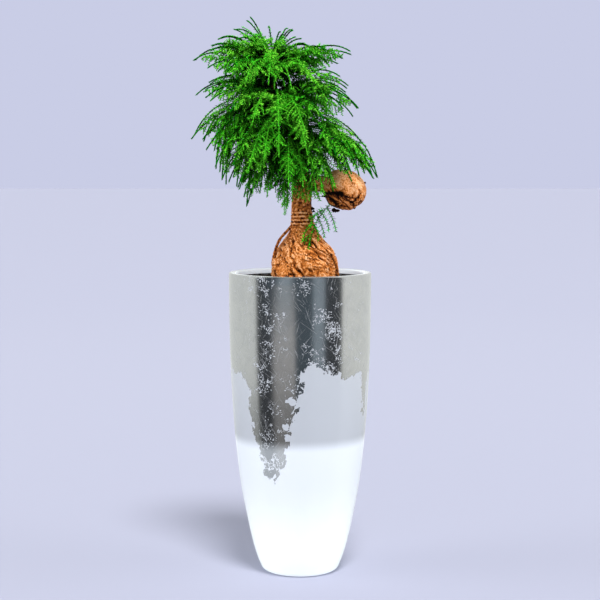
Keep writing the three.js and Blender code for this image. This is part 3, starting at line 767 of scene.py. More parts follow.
def strand_place(angle, share):
    key = share * (len(STRAND) - 1)
    centre = Vector(follow(strand_steps, key))
    if angle is None:
        return centre
    ahead = Vector(follow(strand_steps, min(key + STRAND_AHEAD, len(STRAND) - 1)))
    behind = Vector(follow(strand_steps, max(key - STRAND_AHEAD, 0)))
    along = (ahead - behind).normalized()
    across = along.cross(Vector((0, 1, 0))).normalized()
    other = along.cross(across)
    radius = STRAND_RADIUS * (1 + 0.22 * noise.noise(centre * 260))
    return centre + radius * (math.cos(angle) * across + math.sin(angle) * other)


leader_shape = sleeve(20, 80, upright(LEADER, leader_relief))
add_openness(leader_shape, lambda point: 0.35 + 0.3 * noise.noise(point * 120))
strand_shape = sleeve(12, 70, strand_place)
add_openness(strand_shape, lambda point: 0.55 + 0.4 * noise.noise(point * 200))
print("leader faces:", len(leader_shape.faces), "root faces:", len(strand_shape.faces))

# %% Dead stubs and broken rootlets
STUBS = (
    (0.089, -0.014, 0.9455, 0.0075), (0.096, -0.016, 0.9450, 0.0055), (0.140, -0.014, 0.953, 0.0042),
    (0.166, -0.012, 1.017, 0.0040), (0.031, -0.004, 0.950, 0.0062), (0.035, -0.006, 0.943, 0.0040),
    (0.060, -0.030, 0.983, 0.0045), (0.046, -0.012, 0.9905, 0.0042),
)
ROOTLETS, ROOTLET_SIZES, ROOTLETS_REACH = 70, (0.0022, 0.0058), 0.125
TRUNK_HEIGHT = TRUNK[-1][0] - TRUNK[0][0]

stub_shape = bmesh.new()
for x, y, z, size in STUBS:
    stub = bmesh.ops.create_icosphere(stub_shape, subdivisions=3, radius=size)
    for v in stub["verts"]:
        v.co *= 0.78 + 0.75 * noise.noise(v.co * 240 + Vector((x, y, z)) * 90)
        v.co = Vector((v.co.x * 1.15 + x, v.co.y + y, v.co.z * 0.8 + z))
luck = random.Random(3)
for _ in range(ROOTLETS):
    angle = luck.uniform(0, 2 * math.pi)
    height = SOIL_TOP + ROOTLETS_REACH * luck.random() ** 0.8
    foot = trunk_place(angle, (height - TRUNK[0][0]) / TRUNK_HEIGHT)
    out = Vector((math.cos(angle), math.sin(angle), luck.uniform(-0.3, 0.9))).normalized()
    size = luck.uniform(*ROOTLET_SIZES)
    turned = out.to_track_quat("Z", "Y").to_matrix().to_4x4()
    bmesh.ops.create_cone(
        stub_shape, cap_ends=True, segments=5, radius1=0.0009, radius2=0.0003, depth=size,
        matrix=Matrix.Translation(foot + out * size * 0.35) @ turned,
    )
add_openness(stub_shape, lambda point: 0.10)
print("stubs and rootlets, faces:", len(stub_shape.faces))

# %% [markdown]
# ## Bark
# The bark's colour runs from black-brown in the furrows through orange-brown to a pale tan on the ridges,
# with moist, reddish clouds, dark pits and, at the top of the leader, young green wood. The dark furrows
# and pale ridges are partly the bark's own colour and partly painted shade and highlight. A fine bump of
# stretched noise gives the fibres that are too small to model.

# %% Bark finish and the woody piece
BARK_COLORS = (
    (0.14, (0.008, 0.002, 0.001)), (0.34, (0.105, 0.024, 0.004)), (0.52, (0.420, 0.112, 0.014)),
    (0.72, (0.760, 0.260, 0.055)), (0.95, (1.000, 0.580, 0.300)),
)
GREEN_WOOD, GREEN_FROM, GREEN_TO = (0.012, 0.080, 0.006), 1.255, 1.285

bark = Finish("orange-brown bark")
openness = bark.attribute("openness")
fibre = bark.cloud(1.0, 4.0, 0.65, 0.6, bark.vector("MULTIPLY", bark.place, (420.0, 420.0, 150.0)))
blotch = bark.cloud(38.0, 4.0, 0.6)
fleck = bark.cloud(230.0, 3.0, 0.75)
pit = bark.step(bark.cloud(120.0, 2.0, 0.6), 0.62, 0.68)
shade = openness + (fibre - 0.5) * 0.75 + (blotch - 0.5) * 0.60 + (fleck - 0.5) * 1.20 - pit * 0.30
# Through openness the ramp paints shade into furrows and light onto ridges, beside the bark's own colour.
brown = bark.ramp(shade, BARK_COLORS)
bark.bump(fibre * 0.7 + blotch * 0.5 + fleck * 0.6, 0.0022, 0.9)
young = bark.step(bark.split(bark.place)[2], GREEN_FROM, GREEN_TO)
bark.set(Base_Color=bark.blend(young, brown, GREEN_WOOD), Roughness=0.75, Specular_IOR_Level=0.15)

whole = bmesh.new()
for part in (trunk_shape, limb_shape, leader_shape, strand_shape, stub_shape):
    add_to(whole, part)
woody = to_piece(whole, "woody_plant", bark.material, ["trunk"])
print("woody plant triangles:", sum(len(p.vertices) - 2 for p in woody.data.polygons))

# %% [markdown]
# ## Fronds
# A frond is a feather: a slim stem with a twig to each side every few millimetres, all clad in awl needles.
# A needle is a three-sided cone of only four faces, its foot sunk in a three-sided core, because there are
# a hundred thousand of them. On a twig the needles stand in two ranks like a fish's bones; on a stem they
# wind round by the golden angle. Twigs of eleven lengths are made once, each with its ranks rolled in four
# ways, and copied from then on. A stem has one of three styles: it swells to a thick, bushy rod, it stays
# slim, or it is lace, the loose growth of young shoots.

# %% Clad twigs, made once
UP = Vector((0, 0, 1))
GOLDEN_ANGLE = math.radians(137.508)
TWIG_RADIUS, STEM_RADIUS, SLIM_RADIUS = (0.0012, 0.0008), (0.0010, 0.0021), (0.0013, 0.0010)
SHORT_STEP, LONG_STEP, TWIG_NEEDLE = 0.0024, 0.0031, 0.00175
SHORT_NEEDLE, LONG_NEEDLE = 0.0060, 0.0098
# A radius and a lean are given at the root and at the tip, a needle by its length and its radius.
TWIG_LEANS, STEM_LEANS, SLIM_LEANS = (1.28, 1.05), (1.10, 0.36), (1.10, 0.80)
LACE_RADIUS, LACE_LEANS = (0.0012, 0.0008), (1.20, 0.95)
THICK_STEM = (STEM_RADIUS, 0.0017, STEM_LEANS, (0.0088, 0.0015))
SLIM_STEM = (SLIM_RADIUS, 0.0024, SLIM_LEANS, (0.0070, 0.0014))
LACE_STEM = (LACE_RADIUS, 0.0022, LACE_LEANS, (0.0116, 0.0016))
TWIG_LENGTHS = [0.008 + 0.0056 * i for i in range(11)]
TWIG_SAG, TWIG_ROLLS = 0.18, (0.0, 0.8, 1.6, 2.4)
NEEDLE_PLAY, NEEDLE_TAPER, LEAN_FROM, LEAN_TO = 0.18, 0.30, 0.50, 0.88


def some(luck, play):
    """A little more or less than nothing."""
    return luck.uniform(-play, play)


def clad(length, radii, bends, step, turn, leans, needle, luck):
    """A slim core up +Z from the origin, with a needle every step, each turned on from the one before it."""
    shape = bmesh.new()
    layers = shape.verts.layers.float
    tip_layer, stem_layer, tone_layer = (layers.new(name) for name in ("needle", "stem", "tone"))
    bmesh.ops.create_cone(
        shape, cap_ends=True, segments=3, radius1=radii[0], radius2=radii[1], depth=length,
        matrix=Matrix.Translation((0, 0, length / 2)),
    )
    tall = [e for e in shape.edges if abs(e.verts[0].co.z - e.verts[1].co.z) > length / 2]
    bmesh.ops.subdivide_edges(shape, edges=tall, cuts=bends, use_grid_fill=True)
    for i in range(1, round(length / step)):
        height = i * step
        size = needle[0] * (1.0 - NEEDLE_TAPER * height / length) * (1 + some(luck, NEEDLE_PLAY))
        swing = Matrix.Rotation(i * turn + some(luck, NEEDLE_PLAY), 4, "Z")
        lean = leans[0] + (leans[1] - leans[0]) * smooth(height / length, LEAN_FROM, LEAN_TO)
        swing = swing @ Matrix.Rotation(lean, 4, "Y")
        made = bmesh.ops.create_cone(
            shape, cap_ends=True, segments=3, radius1=needle[1], radius2=0.0, depth=size,
            matrix=Matrix.Translation((0, 0, height)) @ swing @ Matrix.Translation((0, 0, size / 2)),
        )
        tone = luck.random()
        for v in made["verts"]:
            v[tone_layer] = tone
    for v in shape.verts:
        v[tip_layer] = 1.0 if math.hypot(v.co.x, v.co.y) > 1.6 * radii[0] else 0.0
        v[stem_layer] = v.co.z / length if radii == STEM_RADIUS else 0.0
    return shape


def twig_template(length, roll, luck):
    """A twig whose two ranks of needles are rolled against the plane in which it sags."""
    grown = smooth(length, 0.014, 0.046)
    reach = SHORT_NEEDLE + (LONG_NEEDLE - SHORT_NEEDLE) * grown
    step = SHORT_STEP + (LONG_STEP - SHORT_STEP) * grown
    shape = clad(length, TWIG_RADIUS, 3, step, math.pi, TWIG_LEANS, (reach, TWIG_NEEDLE), luck)
    shape.verts.layers.float.new("shoot")
    bmesh.ops.rotate(shape, verts=shape.verts, matrix=Matrix.Rotation(roll, 3, "Z"))
    for v in shape.verts:
        share = max(v.co.z, 0.0) / length
        v.co.y += TWIG_SAG * length * share**2
    mesh = bpy.data.meshes.new("twig")
    shape.to_mesh(mesh)
    shape.free()
    return mesh


luck = random.Random(11)
twigs = {length: [twig_template(length, roll, luck) for roll in TWIG_ROLLS] for length in TWIG_LENGTHS}
print("twig faces:", {round(length, 3): len(rolled[0].polygons) for length, rolled in twigs.items()})

# %% [markdown]
# ## Reading the CAD's fronds
# A frond of the CAD is a three-sided stem whose faces are raised into branchlets. The twigs could be laid
# out afresh, but then the dressed crown would drift away from the solids. So each branchlet's foot and tip
# are read from the frond's corners: a tip has few edges and stands far from its neighbours, a corner of the
# stem has many.

# %% Reading a CAD frond
TWIG_SHORTEST, RING_WIDTH = 0.0095, 0.0052


def raised_points(node):
    """Foot and tip of each raised branchlet of a CAD frond, and the corners of its three-sided stem."""
    shape = bmesh.new()
    shape.from_mesh(node.data)
    bmesh.ops.remove_doubles(shape, verts=shape.verts, dist=0.000002)
    branchlets, corners = [], []
    for v in shape.verts:
        near = [e.other_vert(v).co for e in v.link_edges]
        foot = sum(near, Vector()) / len(near)
        if len(near) > 4:
            corners.append(v.co.copy())
        elif (v.co - foot).length > TWIG_SHORTEST:
            branchlets.append((foot, v.co.copy()))
    shape.free()
    return branchlets, corners


def stem_line(corners, root):
    """The stem's centre line, from its ring corners in order of distance from the root."""
    ordered = sorted(corners, key=lambda c: (c - root).length)
    line = []
    while ordered:
        ring = [c for c in ordered[:4] if (c - ordered[0]).length < RING_WIDTH]
        line.append(sum(ring, Vector()) / len(ring))
        ordered = [c for c in ordered if c not in ring]
    return line


sample_twigs, sample_corners = raised_points(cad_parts["frond_upper_01"])
print("frond_upper_01:", len(sample_twigs), "branchlets,", len(sample_corners), "stem corners")

# %% [markdown]
# ## One fine frond
# A stem is a straight clad core that is bent along the frond's own line. Twigs stand on it in two rows, as
# the CAD's branchlets do, but closer together: a twig between two branchlets is drawn from both, with a
# little play in length, aim and roll. The crown has a few gaps through which the wall or the leader shows.
# Cutting them out afterwards would leave half needles, so a twig that would close one, as the camera sees
# it, isn't set at all.

# %% One fine frond
TWIG_PITCH, PITCH_GROWTH, GROWS_FROM, GROWS_TO = 0.0074, 0.60, 0.018, 0.045
TWIG_PLAY, AIM_PLAY, ROLL_PLAY, SWING_PLAY = 0.20, 0.22, 1.0, 0.75
ROD_REACH, ROD_ASPECT = 0.085, 0.55
ROD_LENGTH, SLIM_END, BARE_APEX, TIP_BOW = 0.018, 0.006, 0.42, 0.010
# A gap is its place across and up, its radius, and how far back a twig may start and still be left out.
GAPS = (
    ((0.038, 1.163), 0.017, 1.0), ((-0.049, 1.158), 0.010, 1.0), ((0.129, 1.166), 0.014, 1.0),
    ((0.010, 1.262), 0.008, 1.0), ((0.088, 1.242), 0.008, 1.0), ((-0.100, 1.272), 0.022, -0.02),
    ((-0.062, 1.266), 0.026, -0.02), ((-0.022, 1.270), 0.024, -0.02), ((0.044, 1.010), 0.011, 0.5),
    ((0.070, 1.008), 0.013, 0.5), ((0.036, 1.164), 0.020, 1.0),
)
EYE = Vector((0.0, -CAMERA_DISTANCE, CAMERA_HEIGHT))
OUTER_TWIG, OUTER_FROM, OUTER_TO = 0.72, 0.020, 0.120
SPRAY_FROM, SPRAY_TO, SPRAY_PITCH, SPRAY_REACH = 0.12, 0.94, 0.0125, 0.050
HANG_ARCH, HANG_BOW, HANG_DROOP = 0.26, 0.55, 0.40
LINE_STEPS, CURVE_STEPS = 16, 12
KNOB_CENTRE = Vector((0.100, -0.005, 0.990))


def leader_point(height):
    return Vector((*follow(LEADER, height)[:2], height))


wood_points = [leader_point(1.03 + 0.01 * i) for i in range(33)] + [KNOB_CENTRE]


def wood_distance(point):
    return min((point - w).length for w in wood_points)


def line_length(line):
    return sum((b - a).length for a, b in zip(line, line[1:]))


def walk(line, distance):
    """The point and direction at a distance along a line of points."""
    for a, b in zip(line, line[1:]):
        span = (b - a).length
        if distance <= span or b is line[-1]:
            return a + (b - a) * (distance / span), (b - a) / span
        distance -= span


def bent_stem(line, style, luck, shoot=0.0):
    """A stem along a line, clad in one of the three styles."""
    length = line_length(line)
    radii, step, leans, needle = style
    shape = clad(length, radii, len(line), step, GOLDEN_ANGLE, leans, needle, luck)
    layer = shape.verts.layers.float.new("shoot")
    for v in shape.verts:
        centre, along = walk(line, v.co.z)
        side = along.cross(UP).normalized()
        v.co = centre + side * v.co.x + along.cross(side) * v.co.y
        v[layer] = shoot
    return shape


def rows_of(branchlets, line):
    """Splits branchlets into the two rows of the feather, each in order from the root."""
    rows, last = ([], []), None
    for foot, tip in sorted(branchlets, key=lambda pair: (pair[0] - line[0]).length):
        aim = (tip - foot).normalized()
        if last is None:
            last = [aim, -aim]
        side = 0 if aim.dot(last[0]) > aim.dot(last[1]) else 1
        last[side] = aim
        rows[side].append((foot, tip))
    return rows


def evenly(row, phase):
    """The same row with its twigs at a finer pitch, which is wider where they are long."""
    feet = [foot for foot, _ in row]
    spans = [0.0]
    for a, b in zip(feet, feet[1:]):
        spans.append(spans[-1] + (b - a).length)
    distance = phase * TWIG_PITCH
    while distance < spans[-1]:
        k = max(j for j in range(len(spans) - 1) if spans[j] <= distance)
        t = (distance - spans[k]) / (spans[k + 1] - spans[k])
        foot, tip = feet[k].lerp(feet[k + 1], t), row[k][1].lerp(row[k + 1][1], t)
        yield foot, tip
        distance += TWIG_PITCH * (1 + PITCH_GROWTH * smooth((tip - foot).length, GROWS_FROM, GROWS_TO))


def set_twig(shape, foot, tip, along, share, luck):
    """A twig at its foot: swung about the stem, of a share of its length, with play in aim and roll."""
    aim = Matrix.Rotation(some(luck, SWING_PLAY), 3, along) @ (tip - foot)
    length = aim.length * share * (1 + some(luck, TWIG_PLAY))
    nearest = min(TWIG_LENGTHS, key=lambda known: abs(known - length))
    twig = luck.choice(twigs[nearest]).copy()
    forward = (aim.normalized() + Vector([some(luck, AIM_PLAY) for _ in range(3)])).normalized()
    side = forward.cross(UP).normalized()
    turned = Matrix((side, forward.cross(side), forward)).transposed().to_4x4()
    turned = turned @ Matrix.Rotation(some(luck, ROLL_PLAY), 4, "Z")
    twig.transform(Matrix.Translation(foot) @ turned @ Matrix.Diagonal((1, 1, length / nearest, 1)))
    twig.attributes["shoot"].data.foreach_set("value", [luck.random()] * len(twig.vertices))
    shape.from_mesh(twig)
    bpy.data.meshes.remove(twig)


def bowed(line, rise):
    """The same line, raised most at two thirds of its length, so that its end bows over."""
    last = len(line) - 1
    return [p + UP * rise * 6.75 * ((i / last) ** 2 - (i / last) ** 3) for i, p in enumerate(line)]


def in_gap(foot, tip):
    """Whether a twig would close a gap, some of which go right through and some end at the leader."""
    for (x, z), radius, back in GAPS:
        if foot.y > back:
            continue
        sight = (Vector((x, 0.0, z)) - EYE).normalized()
        for point in (foot, foot.lerp(tip, 0.5), tip):
            if (point - EYE).cross(sight).length < radius:
                return True
    return False


def fine_frond(line, rows, luck, bare=0.0):
    """A clad stem with its twigs. Its end is a bare rod, of a set length or of a share of the frond."""
    out = line[-1] - line[0]
    thick = bare > 0.0 or abs(out.x) > max(ROD_REACH, ROD_ASPECT * abs(out.y))
    style = THICK_STEM if thick else SLIM_STEM
    shape = bent_stem(bowed(line, TIP_BOW * luck.uniform(0.5, 1.6)), style, luck)
    rod = max(ROD_LENGTH if thick else SLIM_END, bare * line_length(line))
    along = out.normalized()
    for phase, row in zip((0.0, 0.5), rows):
        if len(row) > 1:
            for foot, tip in evenly(row, phase):
                left = (line[-1] - foot).length
                if left > rod and not in_gap(foot, tip):
                    share = OUTER_TWIG + (1 - OUTER_TWIG) * smooth(left, OUTER_FROM, OUTER_TO)
                    set_twig(shape, foot, tip, along, share, luck)
    return shape


def arched(start, tip, arch, bow):
    """A line that rises from its root and falls to its tip, the more steeply the larger its bow."""
    control = start.lerp(tip, bow)
    control.z = start.lerp(tip, 0.45).z + arch * (tip - start).length
    shares = [i / LINE_STEPS for i in range(LINE_STEPS + 1)]
    return [start.lerp(control, t).lerp(control.lerp(tip, t), t) for t in shares]


def lace(line, shoot, luck):
    """A loose young shoot, whose branchlets stand far apart, arch over and hang."""
    shape = bent_stem(line, LACE_STEM, luck, shoot)
    length = line_length(line)
    distance, hand = SPRAY_FROM * length, 1
    while distance < SPRAY_TO * length:
        foot, along = walk(line, distance)
        share = distance / length
        size = SPRAY_REACH * (0.55 + 1.3 * share * (1 - share))
        size *= luck.uniform(0.85, 1.15) * (1 - 0.45 * share)
        side = along.cross(UP).normalized()
        side = Vector((math.copysign(1.0, side.x), 0, 0)) * 0.5 + side * math.copysign(1.0, side.x)
        aim = along * 0.55 + side * hand * 0.62
        tip = foot + aim.normalized() * size - UP * size * HANG_DROOP
        if not in_gap(foot, tip):
            add_to(shape, bent_stem(arched(foot, tip, HANG_ARCH, HANG_BOW), LACE_STEM, luck, shoot))
        distance, hand = distance + SPRAY_PITCH, -hand
    return shape


print("gaps kept open:", len(GAPS))

# %% [markdown]
# ## Green of the needles
# New needles are a bright yellow green and old ones almost black. Noise in space alone would colour them in
# blobs, so each needle and each twig carries a random number of its own as an attribute, beside marks that
# tell a needle from its stem. The daylight attribute, by which the inside of the crown is painted dark as
# shade, is worked out when all the fronds are there.

# %% Foliage finish
DARK_BELOW, BRIGHT_ABOVE = 0.05, 0.60
OLD_GREEN, NEW_GREEN, YELLOW_GREEN = (0.0002, 0.016, 0.0003), (0.012, 0.860, 0.020), (0.440, 1.000, 0.090)
STEM_GREEN, ROD_GREEN, CROWN_SHADE_GREEN = (0.150, 0.900, 0.030), (0.0012, 0.260, 0.003), (0.0002, 0.006, 0.0002)

needles = Finish("green needles")
at_tip, on_stem = needles.attribute("needle"), needles.attribute("stem")
tone, shoot = needles.attribute("tone"), needles.attribute("shoot")
# Painted shade: needles that get little daylight are painted dark.
crown_shade = 1.0 - needles.step(needles.attribute("daylight"), DARK_BELOW, BRIGHT_ABOVE)
spot = needles.cloud(22.0, 3.0, 0.6)
speck = needles.cloud(230.0, 1.0, 0.5)
fresh = needles.step(tone * 0.95 + shoot * 0.12 + spot * 0.30 + speck * 0.10 - at_tip * 0.06, 0.58, 1.02)
lit = needles.step(needles.cloud(11.0, 2.0, 0.5) * 0.5 + shoot * 0.20 + tone * 0.50, 0.60, 0.86)
green = needles.blend(fresh, OLD_GREEN, NEW_GREEN)
# Painted light: the yellow green, set at random, is kept to needles that get daylight.
green = needles.blend(lit * (1.0 - crown_shade) * 0.85, green, YELLOW_GREEN)
pale_stem = (1.0 - at_tip) * (1.0 - on_stem) * needles.step(shoot, -0.4, 0.0) * 0.55
green = needles.blend(pale_stem, green, STEM_GREEN)
green = needles.blend(needles.step(on_stem, 0.84, 0.94) * 0.60, green, ROD_GREEN)
green = needles.blend(crown_shade * 0.96, green, CROWN_SHADE_GREEN)
needles.set(Base_Color=green, Roughness=0.60, Specular_IOR_Level=0.03)
print("shader nodes of the needles:", len(needles.tree.nodes))

# %% [markdown]
# ## Fronds between neighbours
# Between two neighbours of a whorl there is room for one more frond, or for two where the gap is wide. Its
# stem is drawn from both neighbours, turned about the leader, and its twigs follow the same feather rule as
# theirs: short at the root, longest before the middle, and short again at the tip.

# %% Fronds between neighbours
BETWEEN_REACH, WIDE_GAP = 0.94, math.radians(58)
TWIG_ANGLE, TWIG_DROOP, TWIG_SHARE, LONGEST_TWIG = math.radians(58), 0.30, 0.28, 0.052
FEATHER_STEPS, FEATHER_FROM, FEATHER_SPAN = 12, 0.10, 0.80


def between(line_a, line_b, gap, share):
    """A line part of the way from one frond to the next round the leader."""
    centre = (line_a[0] + line_b[0]) / 2
    centre = Vector((*follow(LEADER, centre.z)[:2], 0.0))
    back, onward = Matrix.Rotation(-gap, 3, "Z"), Matrix.Rotation(share * gap, 3, "Z")
    line = []
    for i in range(LINE_STEPS + 1):
        a = walk(line_a, line_length(line_a) * i / LINE_STEPS)[0] - centre
        b = walk(line_b, line_length(line_b) * i / LINE_STEPS)[0] - centre
        line.append(onward @ a.lerp(back @ b, share) + centre)
    return [line[0] + (p - line[0]) * BETWEEN_REACH for p in line]


def feather_rows(line, roll):
    """Feet and tips of the twigs of a frond that the CAD doesn't have, in two rows."""
    length = line_length(line)
    longest = min(TWIG_SHARE * length, LONGEST_TWIG)
    rows = ([], [])
    for i in range(FEATHER_STEPS + 1):
        share = FEATHER_FROM + FEATHER_SPAN * i / FEATHER_STEPS
        foot, along = walk(line, share * length)
        level = along.cross(UP).normalized()
        side = level * math.cos(roll) + level.cross(along) * math.sin(roll)
        reach = longest * smooth(share, -0.05, 0.3) * min((1.02 - share) / 0.62, 1.0) ** 0.85
        for row, hand in zip(rows, (-1, 1)):
            aim = along * math.cos(TWIG_ANGLE) + side * hand * math.sin(TWIG_ANGLE) - UP * TWIG_DROOP
            row.append((foot, foot + aim.normalized() * reach))
    return rows


def grow(whole, line, roll, luck, bare=0.0):
    """Adds a frond along a line, with its feather rolled at random."""
    add_to(whole, fine_frond(line, feather_rows(line, some(luck, roll)), luck, bare))


def heading(line):
    out = line[-1] - line[0]
    return math.atan2(out.y, out.x)


print("twigs on each side of a frond between:", FEATHER_STEPS + 1)

# %% [markdown]
# ## Fronds of the CAD
# Each frond of the CAD is replaced by its fine one. The small shoot under the knob is finer still: a few
# curved stems that hang from the knob's lower side, drawn as three points each, as one would bend wire.

# %% Fronds of the CAD
SHOOT_PATHS = (
    ((80, -8, 963), (42, -36, 915), (20, -66, 844)), ((70, -14, 953), (85, -22, 922), (93, -34, 890)),
    ((54, -24, 942), (69, -40, 917), (73, -56, 894)), ((45, -30, 931), (59, -34, 897), (62, -40, 876)),
    ((50, -28, 937), (20, -24, 921), (6, -28, 894)), ((35, -38, 911), (16, -56, 897), (7, -74, 868)),
    ((34, -40, 907), (45, -62, 893), (45, -78, 870)), ((27, -52, 886), (15, -50, 873), (9, -54, 851)),
    ((60, -20, 948), (38, -50, 934), (26, -74, 906)),
)
SHOOT_SHADE = -0.2


def curved(start, middle, end):
    """A line through three points given in millimetres."""
    a, m, c = (Vector(point) / 1000 for point in (start, middle, end))
    b = 2 * m - (a + c) / 2
    shares = [i / CURVE_STEPS for i in range(CURVE_STEPS + 1)]
    return [a.lerp(b, t).lerp(b.lerp(c, t), t) for t in shares]


luck = random.Random(21)
whorls, crown = {}, []
for name, node in sorted(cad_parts.items()):
    if not name.startswith(("frond", "shoot")):
        continue
    branchlets, corners = raised_points(node)
    line = stem_line(corners, min(corners, key=wood_distance))
    if name.startswith("frond"):
        whorls.setdefault(name[:-3], []).append(line)
    if name.startswith("shoot"):
        shape = bmesh.new()
        for path in SHOOT_PATHS:
            add_to(shape, bent_stem(curved(*path), LACE_STEM, luck, SHOOT_SHADE))
    else:
        bare = BARE_APEX if "apex" in name else 0.0
        shape = fine_frond(line, rows_of(branchlets, line), luck, bare)
    crown.append(to_piece(shape, "fine_" + name, needles.material, [name]))
print("foliage triangles on the CAD's fronds:", sum(len(piece.data.polygons) for piece in crown))

# %% [markdown]
# ## Filling the whorls
# The fronds of each whorl are sorted by their heading, so that each one knows its neighbour. The apex is left
# out, because its fronds stand too close together for more.

# %% Fronds between them
BETWEEN_ROLL = 0.4

for whorl, lines in whorls.items():
    if whorl == "frond_apex":
        continue
    lines.sort(key=heading)
    shape = bmesh.new()
    for line_a, line_b in zip(lines, lines[1:] + lines[:1]):
        gap = (heading(line_b) - heading(line_a)) % (2 * math.pi)
        count = 2 if gap > WIDE_GAP else 1
        for i in range(count):
            line = between(line_a, line_b, gap, (i + 1) / (count + 1))
            grow(shape, line, BETWEEN_ROLL, luck)
    crown.append(to_piece(shape, whorl + "_between", needles.material))
    print(crown[-1].name, "faces:", len(crown[-1].data.polygons))

# %% [markdown]
# ## Fuller flanks, apex and sprays
# A grown crown is never even. Longer fronds fill its flanks, where it is fullest, and a few short rods end
# it at the top. At the front hang loose sprays of lace, so thin that one sees through them. Each is drawn
# as the height where it leaves the leader, its tip, how high it arches, and how late it falls.

# %% Fronds of the fuller flanks
FLANKS = (
    (1.280, (-0.214, -0.036, 1.312), 0.14, 0.45), (1.262, (-0.236, 0.028, 1.276), 0.18, 0.45),
    (1.222, (-0.214, -0.060, 1.054), 0.34, 0.95), (1.205, (-0.204, 0.040, 1.024), 0.36, 0.95),
    (1.214, (-0.191, -0.014, 1.014), 0.38, 1.00), (1.190, (-0.160, -0.090, 1.010), 0.42, 0.80),
    (1.230, (-0.222, 0.010, 1.100), 0.30, 0.85), (1.196, (-0.176, 0.110, 1.030), 0.40, 0.85),
    (1.175, (0.130, -0.110, 1.040), 0.40, 0.60), (1.120, (-0.020, -0.130, 0.985), 0.38, 0.60),
    (1.240, (-0.030, -0.150, 1.170), 0.36, 0.60), (1.180, (-0.120, -0.100, 0.990), 0.40, 0.70),
    (1.330, (-0.208, -0.030, 1.382), 0.16, 0.55), (1.326, (-0.228, 0.020, 1.370), 0.18, 0.50),
    (1.330, (-0.160, -0.080, 1.376), 0.18, 0.50), (1.334, (-0.110, -0.090, 1.384), 0.12, 0.50),
    (1.336, (-0.040, -0.080, 1.384), 0.12, 0.50), (1.326, (0.062, 0.030, 1.356), 0.16, 0.50),
    (1.330, (-0.060, 0.090, 1.386), 0.12, 0.50), (1.330, (-0.150, 0.080, 1.384), 0.14, 0.50),
    (1.318, (0.090, -0.030, 1.346), 0.18, 0.50), (1.245, (-0.272, -0.010, 1.140), 0.17, 0.70),
    (1.232, (-0.250, 0.020, 1.124), 0.20, 0.75), (1.335, (-0.268, -0.020, 1.330), 0.17, 0.60),
    (1.320, (0.130, 0.000, 1.346), 0.07, 0.50), (1.296, (0.122, -0.030, 1.266), 0.12, 0.65),
    (1.266, (0.148, 0.000, 1.208), 0.15, 0.65), (1.176, (0.200, 0.000, 1.032), 0.25, 0.80),
    (1.160, (0.186, -0.050, 1.030), 0.27, 0.80), (1.146, (0.150, -0.080, 1.036), 0.27, 0.80),
    (1.166, (0.168, 0.030, 1.042), 0.26, 0.80), (1.140, (0.104, -0.060, 1.046), 0.28, 0.80),
    (1.160, (-0.137, -0.030, 0.958), 0.36, 0.90), (1.150, (-0.102, -0.060, 0.990), 0.36, 0.85),
    (1.140, (-0.086, 0.050, 0.978), 0.36, 0.85), (1.130, (-0.062, -0.080, 0.992), 0.36, 0.85),
    (1.120, (-0.040, -0.095, 0.936), 0.34, 0.90), (1.180, (-0.206, -0.030, 1.046), 0.38, 0.95),
    (1.345, (-0.164, -0.010, 1.408), 0.10, 0.50), (1.345, (-0.150, 0.025, 1.418), 0.06, 0.50),
    (1.342, (-0.140, -0.030, 1.392), 0.10, 0.50), (1.342, (-0.030, 0.010, 1.384), 0.10, 0.50),
)
APEX_RODS = (
    (1.346, (-0.050, -0.020, 1.402)), (1.344, (-0.041, 0.015, 1.396)), (1.343, (-0.020, -0.020, 1.407)),
    (1.342, (-0.012, 0.020, 1.392)), (1.340, (0.003, -0.025, 1.384)), (1.338, (0.012, 0.010, 1.375)),
    (1.334, (0.025, -0.015, 1.362)),
)

SPRAYS = (
    (1.108, (0.030, -0.085, 0.982), 0.42), (1.112, (0.062, -0.098, 0.986), 0.40),
    (1.118, (0.088, -0.090, 1.008), 0.34), (1.100, (0.006, -0.080, 0.978), 0.42),
    (1.098, (0.046, -0.070, 0.976), 0.36), (1.205, (0.010, -0.150, 1.136), 0.22),
    (1.205, (-0.100, -0.150, 1.046), 0.34), (1.345, (-0.076, -0.120, 1.318), 0.22),
    (1.320, (0.040, -0.130, 1.266), 0.22), (1.310, (-0.150, -0.110, 1.254), 0.20),
    (1.240, (-0.060, -0.150, 1.154), 0.26),
)
SPRAY_BOW, ROD_ARCH, ROD_BOW, BARE_ROD, FREE_ROLL = 0.60, 0.06, 0.50, 0.45, 0.6

shape = bmesh.new()
for height, tip, arch in SPRAYS:
    add_to(shape, lace(arched(leader_point(height), Vector(tip), arch, SPRAY_BOW), 1.0, luck))
for height, tip, arch, bow in FLANKS:
    grow(shape, arched(leader_point(height), Vector(tip), arch, bow), FREE_ROLL, luck)
for height, tip in APEX_RODS:
    grow(shape, arched(leader_point(height), Vector(tip), ROD_ARCH, ROD_BOW), FREE_ROLL, luck, BARE_ROD)
crown.append(to_piece(shape, "flank_fronds", needles.material))
print("flank faces:", len(crown[-1].data.polygons))

# %% [markdown]
# ## Young fronds
# Young, short fronds stand close to the leader all the way up. Each one is a golden angle further round
# than the one below it, as shoots are, so they never line up.

# %% Young fronds along the leader
YOUNG, YOUNG_FROM, YOUNG_TO, YOUNG_FALL = 66, 1.130, 1.352, 0.35

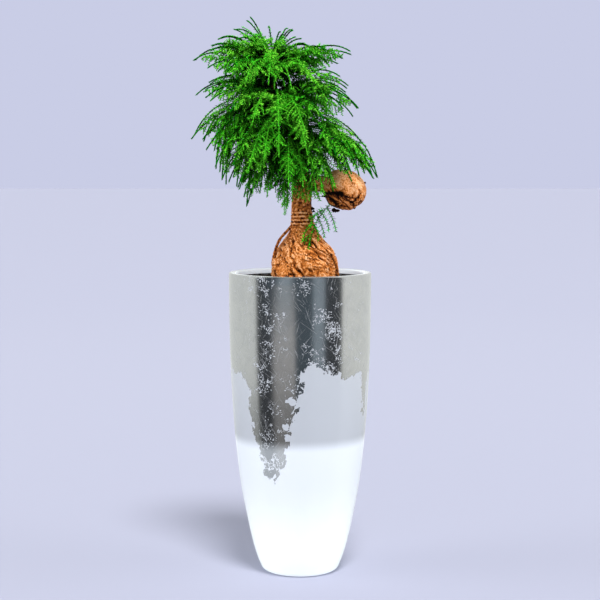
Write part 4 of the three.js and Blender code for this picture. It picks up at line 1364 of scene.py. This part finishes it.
shape = bmesh.new()
for i in range(YOUNG):
    height = YOUNG_FROM + (YOUNG_TO - YOUNG_FROM) * i / (YOUNG - 1)
    x, y, radius = follow(LEADER, height)
    angle = i * GOLDEN_ANGLE
    reach, rise = luck.uniform(0.060, 0.125), luck.uniform(0.10, 0.60)
    reach *= 1.0 - 0.4 * smooth(height, 1.30, YOUNG_TO)
    level = Vector((math.cos(angle), math.sin(angle), 0))
    line = []
    for t in (k / CURVE_STEPS for k in range(CURVE_STEPS + 1)):
        lift = UP * reach * (rise * t - YOUNG_FALL * t * t)
        line.append(Vector((x, y, height)) + level * (radius * 0.6 + reach * t) + lift)
    grow(shape, line, FREE_ROLL, luck)
crown.append(to_piece(shape, "young_fronds", needles.material))
print("young frond faces:", len(crown[-1].data.polygons))
print("foliage triangles:", sum(len(p.vertices) - 2 for piece in crown for p in piece.data.polygons))

# %% [markdown]
# ## Daylight
# Little light reaches the needles inside a crown. The renderer's own shade there is too soft, so the shade
# is painted into their colour. How much light gets in is worked out once: the crown's points are counted in
# a coarse grid of cells, and for each cell the needles that stand in its way are added up in seventeen
# directions. The share of light that is left is kept on every point as an attribute.

# %% Daylight inside the crown
CELL, REACH_CELLS, THICKNESS, FROM_ABOVE = 0.007, 14, 0.0260, 2.5
WAYS = [(x, y, z) for x in (-1, 0, 1) for y in (-1, 0, 1) for z in (0, 1) if (x, y, z) != (0, 0, 0)]


def points_of(piece):
    numbers = numpy.empty(3 * len(piece.data.vertices))
    piece.data.vertices.foreach_get("co", numbers)
    return numbers.reshape(-1, 3)


margin = CELL * (REACH_CELLS + 1)
low = numpy.min([points_of(piece).min(axis=0) for piece in crown], axis=0) - margin
high = numpy.max([points_of(piece).max(axis=0) for piece in crown], axis=0) + margin
cells_of = {piece.name: tuple(((points_of(piece) - low) / CELL).astype(int).T) for piece in crown}
filled = numpy.zeros(numpy.ceil((high - low) / CELL).astype(int) + 1)
for cell_numbers in cells_of.values():
    numpy.add.at(filled, cell_numbers, 1.0)
light = numpy.zeros(filled.shape)
for way in WAYS:
    stretch = math.sqrt(sum(step * step for step in way))
    steps = range(1, REACH_CELLS + 1)
    blocked = sum(numpy.roll(filled, [-k * step for step in way], axis=(0, 1, 2)) for k in steps)
    share = (1.0 + FROM_ABOVE * way[2]) / sum(1.0 + FROM_ABOVE * other[2] for other in WAYS)
    light += share * numpy.exp(-THICKNESS * stretch * blocked)
for piece in crown:
    layer = piece.data.attributes.new("daylight", "FLOAT", "POINT")
    layer.data.foreach_set("value", light[cells_of[piece.name]])
shares = numpy.percentile(light[filled > 0], (10, 50, 90)).round(3)
print("daylight, from a tenth to nine tenths of the crown:", shares)
